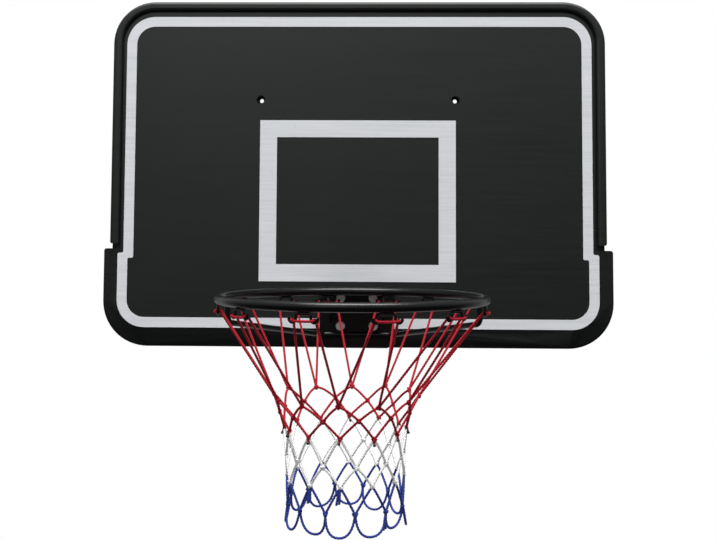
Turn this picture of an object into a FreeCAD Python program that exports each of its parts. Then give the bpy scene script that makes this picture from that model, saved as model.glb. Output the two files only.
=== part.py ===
import FreeCAD, Part
import math
import os

import Sketcher
from FreeCAD import Rotation, Vector

# A basketball backboard: a hollow moulded board, a welded steel rim bolted to it, and a knotted net.
# X runs to the right and Z up, seen from the court. The board's back is at y = 0 and the court lies
# towards -Y. Heights are measured from the board's lower edge, and the whole part is then lowered so
# that the frame's origin lies midway between the two upper mounting holes.

doc = FreeCAD.newDocument("Backboard")

SIZES = [
    # The board
    ("board_width", 1100),
    ("skirt_step", 12.5),
    ("board_height", 750),
    ("face_depth", 28),
    ("wall", 3),
    ("top_corner_radius", 92),
    ("bottom_corner_radius", 98),
    ("back_round", 4),
    # The roll along the top and the upper sides, and the groove beside it
    ("roll_width", 21),
    ("roll_rise", 3),
    ("roll_round", 8),
    ("groove_width", 5),
    ("groove_depth", 6),
    # The lower skirt and the notch above it
    ("skirt_height", 208),
    ("skirt_round", 5),
    ("notch_gap", 11),
    ("notch_inset", 5),
    ("end_chamfer", 4),
    # The upper mounting holes
    ("hole_spacing", 425),
    ("hole_height", 534),
    ("hole_diameter", 9),
    ("well_diameter", 19),
    ("well_floor", 5),
    ("column_wall", 8),
    # The pyramids that tie the back wall to the front wall
    ("tack_mouth", 44),
    ("tack_tip", 18),
    ("tack_row_pitch", 105),
    ("tack_margin", 62),
    # The white stripes
    ("stripe_thickness", 0.4),
    ("stripe_width", 21.5),
    ("stripe_side_margin", 30.5),
    ("stripe_top_margin", 34),
    ("stripe_bottom_margin", 39),
    ("stripe_step_drop", 9),
    ("stripe_step_height", 11),
    ("target_width", 425),
    ("target_height", 349.5),
    ("target_line", 37),
    ("target_base", 139),
    # The ring
    ("ring_diameter", 450),
    ("rod_diameter", 16),
    ("ring_height", 126),
    ("ring_reach", 380),
    # The bracket
    ("plate_thickness", 4),
    ("flange_width", 160),
    ("flange_overhang", 2),
    ("flange_corner", 14),
    ("top_plate_width", 125),
    ("gusset_spacing", 112),
    ("gusset_height", 72),
    ("gusset_length", 118),
    ("gusset_nose", 12),
    # The brace
    ("brace_diameter", 11),
    ("brace_height", 27),
    ("brace_flat", 150),
    ("brace_drop", 50),
    ("brace_bend", 15),
    ("brace_angle", 109),
    # The bolts through the board
    ("bolt_diameter", 10),
    ("bolt_clearance", 0.5),
    ("bolt_spacing_across", 70),
    ("bolt_spacing_up", 60),
    ("bolt_height", 45),
    ("bolt_head_flats", 17),
    ("bolt_head_height", 6.4),
    ("stud_end", 12),
    ("thread_gap", 0.1),
    ("washer_diameter", 20),
    ("washer_thickness", 2),
    ("nut_height", 8.4),
    ("rear_plate_width", 150),
    ("rear_plate_height", 110),
    ("rear_plate_thickness", 3),
    # The hooks under the ring
    ("hook_count", 12),
    ("wire_diameter", 5),
    ("hook_flat", 17),
    ("hook_bend_radius", 4),
    ("hook_loop_radius", 5.5),
    ("hook_leg", 4),
    ("hook_tip", 2.5),
    ("hook_pitch", 32),
    ("brace_hook_angle", 116),
    ("back_hook_angle", 143.5),
    ("bracket_hook_angle", 165),
    ("hook_turn", 1.2),
    # The net
    ("cord_width", 4.5),
    ("cord_gap", 0.3),
    ("knot_width", 12),
    ("net_lean", 10.5),
    ("net_turn", 2.7),
    ("first_row_radius", 128),
    ("first_row_drop", 169),
    ("second_row_radius", 115),
    ("second_row_drop", 193),
    ("third_row_radius", 106),
    ("third_row_drop", 223),
    ("fourth_row_radius", 103),
    ("fourth_row_drop", 267),
    ("fifth_row_radius", 103),
    ("fifth_row_drop", 304),
    ("sixth_row_radius", 101),
    ("sixth_row_drop", 347),
    ("loop_drop", 386),
    # Every cut runs past the faces that it goes through by this much
    ("overrun", 1),
]

sheet = doc.addObject("Spreadsheet::Sheet", "dim")
for line, (alias, value) in enumerate(SIZES, start=1):
    sheet.set("A%d" % line, alias)
    sheet.set("B%d" % line, str(value))
    sheet.setAlias("B%d" % line, alias)
doc.recompute()


def number(expression):
    """The value of an expression in the sheet's names."""
    return float(sheet.evalExpression(expression))


def size(alias):
    """One size from the sheet."""
    return float(sheet.get(alias))


# Sketches and bodies

def new_body(label):
    body = doc.addObject("PartDesign::Body", label)
    body.Label = label
    return body


def plane_of(body, role):
    return [plane for plane in body.Origin.OriginFeatures if plane.Role == role][0]


def new_sketch(body, name, role, offset="0"):
    """An empty sketch on one of the body's own planes, moved along its normal by an expression."""
    sketch = body.newObject("Sketcher::SketchObject", name)
    sketch.AttachmentSupport = (plane_of(body, role), [""])
    sketch.MapMode = "FlatFace"
    sketch.setExpression("AttachmentOffset.Base.z", offset)
    return sketch


def bind(sketch, constraint, expression):
    """Adds a constraint whose value is an expression."""
    index = sketch.addConstraint(constraint)
    sketch.setExpression("Constraints[%d]" % index, expression)


def pin(sketch, piece, end, across, up):
    """Ties one end of a line to the sketch's origin by two expressions."""
    bind(sketch, Sketcher.Constraint("DistanceX", -1, 1, piece, end, number(across)), across)
    bind(sketch, Sketcher.Constraint("DistanceY", -1, 1, piece, end, number(up)), up)


def toward(start, end, radius):
    """The expressions of the point that lies a radius from start on the level or upright run to end."""
    gap_x = number(end[0]) - number(start[0])
    gap_y = number(end[1]) - number(start[1])
    if abs(gap_x) > abs(gap_y):
        sign = "+" if gap_x > 0 else "-"
        return ("%s %s (%s)" % (start[0], sign, radius), start[1])
    sign = "+" if gap_y > 0 else "-"
    return (start[0], "%s %s (%s)" % (start[1], sign, radius))


def draw_outline(sketch, corners):
    """Draws a closed outline. A corner is (across, up) or (across, up, radius), all expressions."""
    count = len(corners)
    runs = []
    for index, corner in enumerate(corners):
        after = corners[(index + 1) % count]
        first = corner[:2] if len(corner) == 2 else toward(corner, after, corner[2])
        last = after[:2] if len(after) == 2 else toward(after, corner, after[2])
        runs.append((first, last))
    lines = []
    for first, last in runs:
        start = Vector(number(first[0]), number(first[1]), 0)
        end = Vector(number(last[0]), number(last[1]), 0)
        lines.append(sketch.addGeometry(Part.LineSegment(start, end), False))
    for index, corner in enumerate(corners):
        line = lines[index]
        before = lines[index - 1]
        pin(sketch, line, 1, *runs[index][0])
        if len(corner) == 2:
            sketch.addConstraint(Sketcher.Constraint("Coincident", before, 2, line, 1))
            continue
        pin(sketch, before, 2, *runs[index - 1][1])
        start = Vector(number(runs[index - 1][1][0]), number(runs[index - 1][1][1]), 0)
        end = Vector(number(runs[index][0][0]), number(runs[index][0][1]), 0)
        tip = Vector(number(corner[0]), number(corner[1]), 0)
        centre = start + end - tip
        radius = number(corner[2])
        middle = centre + (tip - centre) * (radius / (tip - centre).Length)
        arc = sketch.addGeometry(Part.Arc(start, middle, end), False)
        turned = (start - centre).cross(end - centre).z > 0
        heads = (1, 2) if turned else (2, 1)
        sketch.addConstraint(Sketcher.Constraint("Coincident", before, 2, arc, heads[0]))
        sketch.addConstraint(Sketcher.Constraint("Coincident", line, 1, arc, heads[1]))
        bind(sketch, Sketcher.Constraint("Radius", arc, radius), corner[2])


def draw_circle(sketch, across, up, diameter):
    centre = Vector(number(across), number(up), 0)
    normal = Vector(0, 0, 1)
    circle = sketch.addGeometry(Part.Circle(centre, normal, number(diameter) / 2), False)
    pin(sketch, circle, 3, across, up)
    bind(sketch, Sketcher.Constraint("Diameter", circle, number(diameter)), diameter)


def mirrored(right):
    """A whole outline from its right half, which runs from the lower edge to the upper one."""
    left = [("-(%s)" % corner[0],) + tuple(corner[1:]) for corner in reversed(right)]
    return list(right) + left


def add_feature(body, kind, name, sketch, length, reverse=False):
    """A pad or a pocket of a sketch, with its length bound to an expression."""
    feature = body.newObject("PartDesign::" + kind, name)
    feature.Profile = sketch
    feature.setExpression("Length", length)
    feature.Reversed = reverse
    sketch.Visibility = False
    doc.recompute()
    return feature


def add_fillet(body, name, edges, radius):
    """Rounds the edges of the body's last feature that a test picks out."""
    base = body.Tip
    names = []
    for index, edge in enumerate(base.Shape.Edges, start=1):
        if edges(edge):
            names.append("Edge%d" % index)
    fillet = body.newObject("PartDesign::Fillet", name)
    fillet.Base = (base, names)
    fillet.setExpression("Radius", radius)
    doc.recompute()
    return fillet


def near(first, second):
    """True where two lengths agree to a hair, as a share of the wall."""
    hair_share = 0.001
    return abs(first - second) < hair_share * size("wall")


def lower_to_frame(part):
    """Puts the frame's origin at the height of the mounting holes."""
    part.setExpression("Placement.Base.z", "-dim.hole_height")


def cut(label, base, tool):
    result = doc.addObject("Part::Cut", label)
    result.Label = label
    result.Base = base
    result.Tool = tool
    base.Visibility = False
    tool.Visibility = False
    return result


def compound(label, pieces):
    group = doc.addObject("Part::Compound", label)
    group.Label = label
    group.Links = pieces
    return group


def solid_feature(label, shape):
    """An object for a form that has no sketch or primitive of its own."""
    feature = doc.addObject("Part::Feature", label)
    feature.Label = label
    feature.Shape = shape
    return feature


# Heights and widths that several pieces share

SKIRT_TOP = "dim.skirt_height"
ROLL_END = "dim.skirt_height + dim.notch_gap"
SKIRT_HALF = "dim.board_width / 2"
UPPER_HALF = "dim.board_width / 2 - dim.skirt_step"
NOTCH_HALF = UPPER_HALF + " - dim.notch_inset"
ROLL_INNER = UPPER_HALF + " - dim.roll_width"
GROOVE_INNER = ROLL_INNER + " - dim.groove_width"
ROLL_INNER_TOP = "dim.board_height - dim.roll_width"
GROOVE_INNER_TOP = "dim.board_height - dim.roll_width - dim.groove_width"
ROLL_INNER_RADIUS = "dim.top_corner_radius - dim.roll_width"
GROOVE_INNER_RADIUS = "dim.top_corner_radius - dim.roll_width - dim.groove_width"
FLANGE_BACK = "dim.face_depth + dim.stripe_thickness"
FLANGE_FRONT = "dim.face_depth + dim.stripe_thickness + dim.plate_thickness"


# The board's outside

def board_outline():
    return mirrored([
        (SKIRT_HALF, "0", "dim.bottom_corner_radius"),
        (SKIRT_HALF, SKIRT_TOP + " - dim.end_chamfer"),
        (SKIRT_HALF + " - dim.end_chamfer", SKIRT_TOP),
        (NOTCH_HALF, SKIRT_TOP),
        (NOTCH_HALF, ROLL_END),
        (UPPER_HALF + " - dim.end_chamfer", ROLL_END),
        (UPPER_HALF, ROLL_END + " + dim.end_chamfer"),
        (UPPER_HALF, "dim.board_height", "dim.top_corner_radius"),
    ])


def roll_outline():
    """The band along the top and the upper sides that rises above the face."""
    outside = mirrored([
        (UPPER_HALF + " - dim.end_chamfer", ROLL_END),
        (UPPER_HALF, ROLL_END + " + dim.end_chamfer"),
        (UPPER_HALF, "dim.board_height", "dim.top_corner_radius"),
    ])
    inside = mirrored([
        (ROLL_INNER, ROLL_END),
        (ROLL_INNER, ROLL_INNER_TOP, ROLL_INNER_RADIUS),
    ])
    return outside + list(reversed(inside))


def groove_outline():
    """The groove inside the roll, which opens into the notches at its two ends."""
    outside = mirrored([
        (NOTCH_HALF + " + dim.notch_inset + dim.overrun", SKIRT_TOP),
        (NOTCH_HALF + " + dim.notch_inset + dim.overrun", ROLL_END),
        (ROLL_INNER, ROLL_END),
        (ROLL_INNER, ROLL_INNER_TOP, ROLL_INNER_RADIUS),
    ])
    inside = mirrored([
        (GROOVE_INNER, SKIRT_TOP),
        (GROOVE_INNER, GROOVE_INNER_TOP, GROOVE_INNER_RADIUS),
    ])
    return outside + list(reversed(inside))


board = new_body("board_outside")
board_sketch = new_sketch(board, "board_sketch", "XZ_Plane")
draw_outline(board_sketch, board_outline())
add_feature(board, "Pad", "board_pad", board_sketch, "dim.face_depth")

roll_sketch = new_sketch(board, "roll_sketch", "XZ_Plane", "dim.face_depth")
draw_outline(roll_sketch, roll_outline())
add_feature(board, "Pad", "roll_pad", roll_sketch, "dim.roll_rise")

groove_sketch = new_sketch(board, "groove_sketch", "XZ_Plane", "dim.face_depth")
draw_outline(groove_sketch, groove_outline())
add_feature(board, "Pocket", "groove_pocket", groove_sketch, "dim.groove_depth")


def at_depth(edge, depth):
    """True for an edge that lies whole at one distance before the board's back."""
    return near(edge.BoundBox.YMin, -depth) and near(edge.BoundBox.YMax, -depth)


def middle_of(edge):
    return edge.valueAt((edge.FirstParameter + edge.LastParameter) / 2)


def long_edge(edge):
    """Leaves out the short edges at the roll's and the skirt's ends."""
    return edge.Length > size("roll_width") + size("groove_width") + size("overrun")


def on_roll(edge):
    return at_depth(edge, size("face_depth") + size("roll_rise")) and long_edge(edge)


def round_skirt(edge):
    point = middle_of(edge)
    low = point.z < size("skirt_height") - size("end_chamfer")
    return at_depth(edge, size("face_depth")) and low and long_edge(edge)


def round_back(edge):
    return at_depth(edge, 0) and long_edge(edge)


add_fillet(board, "roll_fillet", on_roll, "dim.roll_round")
add_fillet(board, "skirt_fillet", round_skirt, "dim.skirt_round")
add_fillet(board, "back_fillet", round_back, "dim.back_round")


# The places of the bolt holes

MOUNT_PLACES = []
for side in ("-", "+"):
    MOUNT_PLACES.append((side + "dim.hole_spacing / 2", "dim.hole_height"))

BOLT_PLACES = []
for side in ("-", "+"):
    for level in ("0", "dim.bolt_spacing_up"):
        BOLT_PLACES.append((side + "dim.bolt_spacing_across / 2", "dim.bolt_height + " + level))

BOLT_HOLE = "dim.bolt_diameter + 2 * dim.bolt_clearance"

hole_sketch = new_sketch(board, "hole_sketch", "XZ_Plane", "-dim.overrun")
for across, up in MOUNT_PLACES:
    draw_circle(hole_sketch, across, up, "dim.hole_diameter")
for across, up in BOLT_PLACES:
    draw_circle(hole_sketch, across, up, BOLT_HOLE)
solid_before = board.Tip.Shape.Volume
hole_length = "dim.face_depth + dim.roll_rise + 2 * dim.overrun"
add_feature(board, "Pocket", "hole_pocket", hole_sketch, hole_length, reverse=True)

# Each upper hole lies at the bottom of a well in the face
well_sketch = new_sketch(board, "well_sketch", "XZ_Plane", "dim.well_floor")
for across, up in MOUNT_PLACES:
    draw_circle(well_sketch, across, up, "dim.well_diameter")
add_feature(board, "Pocket", "well_pocket", well_sketch, "dim.face_depth", reverse=True)
print("holes took", round(solid_before - board.Tip.Shape.Volume), "cubic mm")


# The board's hollow, its tie pyramids and the columns round its bolts

def tack_places():
    """A field of places on the board's back, between the mounting holes and clear of the rear plate."""
    pitch_x = size("hole_spacing") / 4
    pitch_z = size("tack_row_pitch")
    margin = size("tack_margin")
    half_x = number(UPPER_HALF) - margin
    columns = int(half_x / pitch_x + 1 / 2)
    first_x = pitch_x / 2
    keep_x = (size("rear_plate_width") + size("tack_mouth")) / 2
    plate_middle = size("bolt_height") + size("bolt_spacing_up") / 2
    keep_z = plate_middle + (size("rear_plate_height") + size("tack_mouth")) / 2
    places = []
    up = size("hole_height") + pitch_z / 2
    while up + pitch_z < size("board_height") - margin:
        up += pitch_z
    while up > margin:
        for column in range(columns):
            across = first_x + column * pitch_x
            if across < keep_x and up < keep_z:
                continue
            places.append((across, up))
            places.append((-across, up))
        up -= pitch_z
    return places


def flat_sided(sections):
    """A solid with flat sides between closed rings of points, capped at its first and last ring."""
    faces = []
    for first, second in zip(sections, sections[1:]):
        count = len(first)
        for step in range(count):
            after = (step + 1) % count
            side = [first[step], first[after], second[after], second[step], first[step]]
            faces.append(Part.Face(Part.makePolygon(side)))
    for section in (sections[0], sections[-1]):
        faces.append(Part.Face(Part.makePolygon(section + section[:1])))
    solid = Part.makeSolid(Part.makeShell(faces))
    if solid.Volume < 0:
        solid.reverse()
    return solid


def pyramid(across, up, start, end, mouth, tip):
    """A square pyramid without its point, from its mouth at y = start to its tip at y = end."""
    sections = []
    for depth, side in ((start, mouth), (end, tip)):
        half = side / 2
        corners = []
        for turn_x, turn_z in ((-1, -1), (1, -1), (1, 1), (-1, 1)):
            corners.append(Vector(across + turn_x * half, depth, up + turn_z * half))
        sections.append(corners)
    return flat_sided(sections)


TACKS = tack_places()
tack_end = size("face_depth") - 2 * size("wall")
tack_slope = (size("tack_mouth") - size("tack_tip")) / tack_end
tack_hollows = []
tack_walls = []
for place_x, place_z in TACKS:
    mouth_out = size("tack_mouth") + tack_slope * size("overrun")
    tack_hollows.append(pyramid(place_x, place_z, size("overrun"), -tack_end, mouth_out, size("tack_tip")))
    mouth_wide = size("tack_mouth") + 2 * size("wall")
    tip_wide = size("tack_tip") + 2 * size("wall") - tack_slope * (size("face_depth") - tack_end)
    tack_walls.append(pyramid(place_x, place_z, 0, -size("face_depth"), mouth_wide, tip_wide))
print("tie pyramids:", len(TACKS))

hollow_tools = solid_feature("tack_hollows", Part.makeCompound(tack_hollows))
wall_tools = solid_feature("tack_walls", Part.makeCompound(tack_walls))


def inset_outline(inset):
    """The board's outline drawn in by an expression, without its small chamfers."""
    top_radius = "dim.top_corner_radius - (%s)" % inset
    low_radius = "dim.bottom_corner_radius - (%s)" % inset
    return mirrored([
        (SKIRT_HALF + " - " + inset, inset, low_radius),
        (SKIRT_HALF + " - " + inset, SKIRT_TOP + " - (%s)" % inset),
        (NOTCH_HALF + " - " + inset, SKIRT_TOP + " - (%s)" % inset),
        (NOTCH_HALF + " - " + inset, ROLL_END + " + " + inset),
        (UPPER_HALF + " - " + inset, ROLL_END + " + " + inset),
        (UPPER_HALF + " - " + inset, "dim.board_height - (%s)" % inset, top_radius),
    ])


INSET = "2 * dim.wall"
PANEL_INSET = "dim.roll_width + dim.groove_width + dim.wall"

hollow = new_body("board_hollow")
rear_sketch = new_sketch(hollow, "rear_hollow_sketch", "XZ_Plane", "dim.wall")
draw_outline(rear_sketch, inset_outline(INSET))
rear_depth = "dim.face_depth - dim.groove_depth - 2 * dim.wall"
add_feature(hollow, "Pad", "rear_hollow", rear_sketch, rear_depth)

panel_sketch = new_sketch(hollow, "panel_hollow_sketch", "XZ_Plane", "dim.wall")
draw_outline(panel_sketch, mirrored([
    (SKIRT_HALF + " - " + INSET, INSET, "dim.bottom_corner_radius - " + INSET),
    (SKIRT_HALF + " - " + INSET, SKIRT_TOP + " - " + INSET),
    (UPPER_HALF + " - (%s)" % PANEL_INSET, SKIRT_TOP + " - " + INSET),
    (UPPER_HALF + " - (%s)" % PANEL_INSET, "dim.board_height - (%s)" % PANEL_INSET,
     "dim.top_corner_radius - (%s)" % PANEL_INSET),
]))
add_feature(hollow, "Pad", "panel_hollow", panel_sketch, "dim.face_depth - 2 * dim.wall")

column_sketch = new_sketch(hollow, "column_sketch", "XZ_Plane")
for across, up in MOUNT_PLACES:
    draw_circle(column_sketch, across, up, "dim.well_diameter + 2 * dim.column_wall")
for across, up in BOLT_PLACES:
    draw_circle(column_sketch, across, up, BOLT_HOLE + " + 2 * dim.column_wall")
add_feature(hollow, "Pocket", "column_pocket", column_sketch, "dim.face_depth", reverse=True)

hollow_cut = cut("board_hollow_cut", hollow, wall_tools)
dimpled = cut("board_dimpled", board, hollow_tools)
backboard = cut("backboard", dimpled, hollow_cut)


# The white stripes on the face

def stripe_corners(inset, step):
    """The border's edge, drawn in from its outer edge by an expression."""
    top_radius = "dim.top_corner_radius - dim.stripe_side_margin - (%s)" % inset
    low_radius = "dim.bottom_corner_radius - dim.stripe_bottom_margin - (%s)" % inset
    low = SKIRT_HALF + " - dim.stripe_side_margin - (%s)" % inset
    high = UPPER_HALF + " - dim.stripe_side_margin - (%s)" % inset
    return mirrored([
        (low, "dim.stripe_bottom_margin + " + inset, low_radius),
        (low, step),
        (high, step),
        (high, "dim.board_height - dim.stripe_top_margin - (%s)" % inset, top_radius),
    ])


border = new_body("border_stripe")
border_sketch = new_sketch(border, "border_sketch", "XZ_Plane", "dim.face_depth")
STEP = SKIRT_TOP + " - dim.stripe_step_drop"
draw_outline(border_sketch, stripe_corners("0", STEP))
draw_outline(border_sketch, stripe_corners("dim.stripe_width", STEP + " - dim.stripe_step_height"))
# The two lower bolts go through the stripe
for side in ("-", "+"):
    draw_circle(border_sketch, side + "dim.bolt_spacing_across / 2", "dim.bolt_height", BOLT_HOLE)
add_feature(border, "Pad", "border_pad", border_sketch, "dim.stripe_thickness")


def target_corners(inset):
    return mirrored([
        ("dim.target_width / 2 - " + inset, "dim.target_base + " + inset),
        ("dim.target_width / 2 - " + inset, "dim.target_base + dim.target_height - " + inset),
    ])


target = new_body("target_stripe")
target_sketch = new_sketch(target, "target_sketch", "XZ_Plane", "dim.face_depth")
draw_outline(target_sketch, target_corners("0"))
draw_outline(target_sketch, target_corners("dim.target_line"))
add_feature(target, "Pad", "target_pad", target_sketch, "dim.stripe_thickness")


# The ring

RING_MIDDLE = "-(dim.face_depth + dim.ring_reach)"

def make_ring(label):
    torus = doc.addObject("Part::Torus", label)
    torus.Label = label
    torus.setExpression("Radius1", "(dim.ring_diameter + dim.rod_diameter) / 2")
    torus.setExpression("Radius2", "dim.rod_diameter / 2")
    torus.setExpression("Placement.Base.y", RING_MIDDLE)
    return torus


ring = make_ring("rim_ring")
ring.setExpression("Placement.Base.z", "dim.ring_height - dim.hole_height")

# The same form before it is lowered, which shapes the seats of the pieces that are welded to it
ring_form = make_ring("ring_form")
ring_form.setExpression("Placement.Base.z", "dim.ring_height")
ring_form.Visibility = False


# The bracket

flange = new_body("rim_flange")
flange_sketch = new_sketch(flange, "flange_sketch", "XZ_Plane", FLANGE_BACK)
draw_outline(flange_sketch, mirrored([
    ("dim.flange_width / 2 - dim.flange_corner", "-dim.flange_overhang"),
    ("dim.flange_width / 2", "dim.flange_corner - dim.flange_overhang"),
    ("dim.flange_width / 2", "dim.ring_height + dim.plate_thickness / 2"),
]))
for across, up in BOLT_PLACES:
    draw_circle(flange_sketch, across, up, BOLT_HOLE)
add_feature(flange, "Pad", "flange_pad", flange_sketch, "dim.plate_thickness")

plate = new_body("top_plate_blank")
plate_sketch = new_sketch(plate, "plate_sketch", "XY_Plane", "dim.ring_height - dim.plate_thickness / 2")
draw_outline(plate_sketch, mirrored([
    ("dim.top_plate_width / 2", "-(dim.face_depth + dim.ring_reach - dim.ring_diameter / 2)"),
    ("dim.top_plate_width / 2", "-(" + FLANGE_FRONT + ")"),
]))
add_feature(plate, "Pad", "plate_pad", plate_sketch, "dim.plate_thickness")

# The plate's front edge is hollowed to sit against the back of the ring
bore_wall = "dim.ring_diameter / 2 + dim.rod_diameter / 2"
hoop_bore = doc.addObject("Part::Cylinder", "hoop_bore")
hoop_bore.setExpression("Radius", bore_wall)
hoop_bore.setExpression("Height", "dim.plate_thickness + 2 * dim.overrun")
hoop_bore.setExpression("Placement.Base.y", RING_MIDDLE)
hoop_bore.setExpression("Placement.Base.z", "dim.ring_height - dim.plate_thickness / 2 - dim.overrun")
plate_bored = cut("top_plate_bored", plate, hoop_bore)
top_plate = cut("rim_top_plate", plate_bored, ring_form)


def make_gusset(label, side):
    """A three-sided rib under the top plate, against the flange."""
    body = new_body(label)
    middle = side + "dim.gusset_spacing / 2 - dim.plate_thickness / 2"
    sketch = new_sketch(body, label + "_sketch", "YZ_Plane", middle)
    top = "dim.ring_height - dim.plate_thickness / 2"
    draw_outline(sketch, [
        ("-(" + FLANGE_FRONT + ")", top),
        ("-(" + FLANGE_FRONT + " + dim.gusset_length)", top),
        ("-(" + FLANGE_FRONT + " + dim.gusset_length)", top + " - dim.gusset_nose"),
        ("-(" + FLANGE_FRONT + ")", top + " - dim.gusset_height"),
    ])
    add_feature(body, "Pad", label + "_pad", sketch, "dim.plate_thickness")
    return body


gusset_left = make_gusset("gusset_left", "-")
gusset_right = make_gusset("gusset_right", "+")


# The brace: one rod, bent in six places, from the ring's left flank to its right flank

def bent_rod(points, radius, bend):
    """A round rod along straight runs, with every corner bent to one radius."""
    edges = []
    start = points[0]
    for before, corner, after in zip(points, points[1:], points[2:]):
        back = (before - corner).normalize()
        ahead = (after - corner).normalize()
        half = (math.pi - back.getAngle(ahead)) / 2
        reach = bend * math.tan(half)
        first = corner + back * reach
        last = corner + ahead * reach
        centre_line = (back + ahead).normalize()
        centre = corner + centre_line * (bend / math.cos(half))
        middle = centre - centre_line * bend
        edges.append(Part.LineSegment(start, first).toShape())
        edges.append(Part.Arc(first, middle, last).toShape())
        start = last
    edges.append(Part.LineSegment(start, points[-1]).toShape())
    path = Part.Wire(edges)
    circle = Part.makeCircle(radius, points[0], points[1] - points[0])
    rod = path.makePipeShell([Part.Wire([circle])], True, False)
    return rod


ring_y = number(RING_MIDDLE)
ring_z = size("ring_height")
ring_radius = (size("ring_diameter") + size("rod_diameter")) / 2
brace_radius = size("brace_diameter") / 2
brace_y = -number(FLANGE_FRONT) - brace_radius
seat_share = 0.8
brace_out = ring_radius + size("rod_diameter") / 2 + brace_radius * seat_share
brace_turn = math.radians(size("brace_angle"))
brace_end_x = brace_out * math.sin(brace_turn)
brace_end_y = ring_y - brace_out * math.cos(brace_turn)
brace_points = [
    Vector(brace_end_x, brace_end_y, ring_z),
    Vector(brace_end_x, brace_end_y, ring_z - size("brace_drop")),
    Vector(size("brace_flat") / 2, brace_y, size("brace_height")),
]
for point in list(reversed(brace_points)):
    brace_points.append(Vector(-point.x, point.y, point.z))
brace_rod = solid_feature("brace_rod", bent_rod(brace_points, brace_radius, size("brace_bend")))
brace = cut("rim_brace", brace_rod, ring_form)


# Washers, bolts and nuts

def along_bolts(label, make):
    """The same fastener at each of the four bolt holes, as one group of separate solids."""
    pieces = []
    for index, (across, up) in enumerate(BOLT_PLACES, start=1):
        piece = make("%s_%d" % (label, index))
        piece.setExpression("Placement.Base.x", across)
        piece.setExpression("Placement.Base.z", up)
        pieces.append(piece)
    return compound(label, pieces)


def face_court(part, depth):
    """Turns a piece that was drawn along Z to run towards the court, from a distance before the back."""
    part.Placement.Rotation = Rotation(Vector(1, 0, 0), 90)
    part.setExpression("Placement.Base.y", "-(%s)" % depth)


def rod_piece(name, diameter, length):
    rod = doc.addObject("Part::Cylinder", name)
    rod.setExpression("Radius", "(%s) / 2" % diameter)
    rod.setExpression("Height", length)
    return rod


def hexagon_piece(name, flats, length):
    prism = doc.addObject("Part::Prism", name)
    prism.Polygon = 6
    prism.setExpression("Circumradius", "(%s) / 2 / cos(30 deg)" % flats)
    prism.setExpression("Height", length)
    return prism


HEAD_BACK = FLANGE_FRONT + " + dim.washer_thickness"
NUT_FRONT = "dim.rear_plate_thickness + dim.washer_thickness"
SHANK = HEAD_BACK + " + " + NUT_FRONT + " + dim.nut_height + dim.stud_end"


def make_bolt(name):
    head = hexagon_piece(name + "_head", "dim.bolt_head_flats", "dim.bolt_head_height")
    shank = rod_piece(name + "_shank", "dim.bolt_diameter", SHANK)
    shank.setExpression("Placement.Base.z", "-(" + SHANK + ")")
    bolt = doc.addObject("Part::Fuse", name)
    bolt.Base = head
    bolt.Tool = shank
    face_court(bolt, HEAD_BACK)
    return bolt


def make_washer(name):
    disc = rod_piece(name + "_disc", "dim.washer_diameter", "dim.washer_thickness")
    hole = rod_piece(name + "_hole", BOLT_HOLE, "dim.washer_thickness + 2 * dim.overrun")
    hole.setExpression("Placement.Base.z", "-dim.overrun")
    return cut(name, disc, hole)


def make_front_washer(name):
    washer = make_washer(name)
    face_court(washer, FLANGE_FRONT)
    return washer


def make_rear_washer(name):
    washer = make_washer(name)
    face_court(washer, "-dim.rear_plate_thickness - dim.washer_thickness")
    return washer


def make_nut(name):
    block = hexagon_piece(name + "_block", "dim.bolt_head_flats", "dim.nut_height")
    thread = "dim.bolt_diameter + 2 * dim.thread_gap"
    hole = rod_piece(name + "_hole", thread, "dim.nut_height + 2 * dim.overrun")
    hole.setExpression("Placement.Base.z", "-dim.overrun")
    nut = cut(name, block, hole)
    face_court(nut, "-(" + NUT_FRONT + ") - dim.nut_height")
    return nut


bolts = along_bolts("rim_bolts", make_bolt)
washers = along_bolts("rim_washers", make_front_washer)
rear_washers = along_bolts("rear_washers", make_rear_washer)
nuts = along_bolts("rear_nuts", make_nut)

rear_plate = new_body("rear_plate")
rear_plate_sketch = new_sketch(rear_plate, "rear_plate_sketch", "XZ_Plane")
plate_low = "dim.bolt_height + dim.bolt_spacing_up / 2 - dim.rear_plate_height / 2"
draw_outline(rear_plate_sketch, mirrored([
    ("dim.rear_plate_width / 2", plate_low),
    ("dim.rear_plate_width / 2", plate_low + " + dim.rear_plate_height"),
]))
for across, up in BOLT_PLACES:
    draw_circle(rear_plate_sketch, across, up, BOLT_HOLE)
add_feature(rear_plate, "Pad", "rear_plate_pad", rear_plate_sketch, "dim.rear_plate_thickness", reverse=True)


# The hooks: six-sided wires with a straight middle, welded under the ring, and a loop at each end

def wire_along(points, radius, sides):
    """A many-sided rod along straight runs, mitred at every point."""
    count = len(points)
    runs = [(end - start).normalize() for start, end in zip(points, points[1:])]
    out = runs[0].cross(Vector(0, 0, 1))
    if out.Length < abs(runs[0].z) / 2:
        out = runs[0].cross(Vector(0, 1, 0))
    out.normalize()
    over = runs[0].cross(out)
    ring_points = []
    for step in range(sides):
        turn = 2 * math.pi * (step + 1 / 2) / sides
        ring_points.append(points[0] + out * (radius * math.cos(turn)) + over * (radius * math.sin(turn)))
    sections = [ring_points]
    for index in range(1, count):
        run = runs[index - 1]
        normal = run if index == count - 1 else (run + runs[index]).normalize()
        section = []
        for corner in sections[-1]:
            shift = (points[index] - corner).dot(normal) / run.dot(normal)
            section.append(corner + run * shift)
        sections.append(section)
    return flat_sided(sections)


WIRE_SIDES = 6
ARC_STEPS = 4
wire_radius = size("wire_diameter") / 2
cord_radius = size("cord_width") / 2
hook_count = int(size("hook_count"))
PITCH = 2 * math.pi / hook_count


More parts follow.
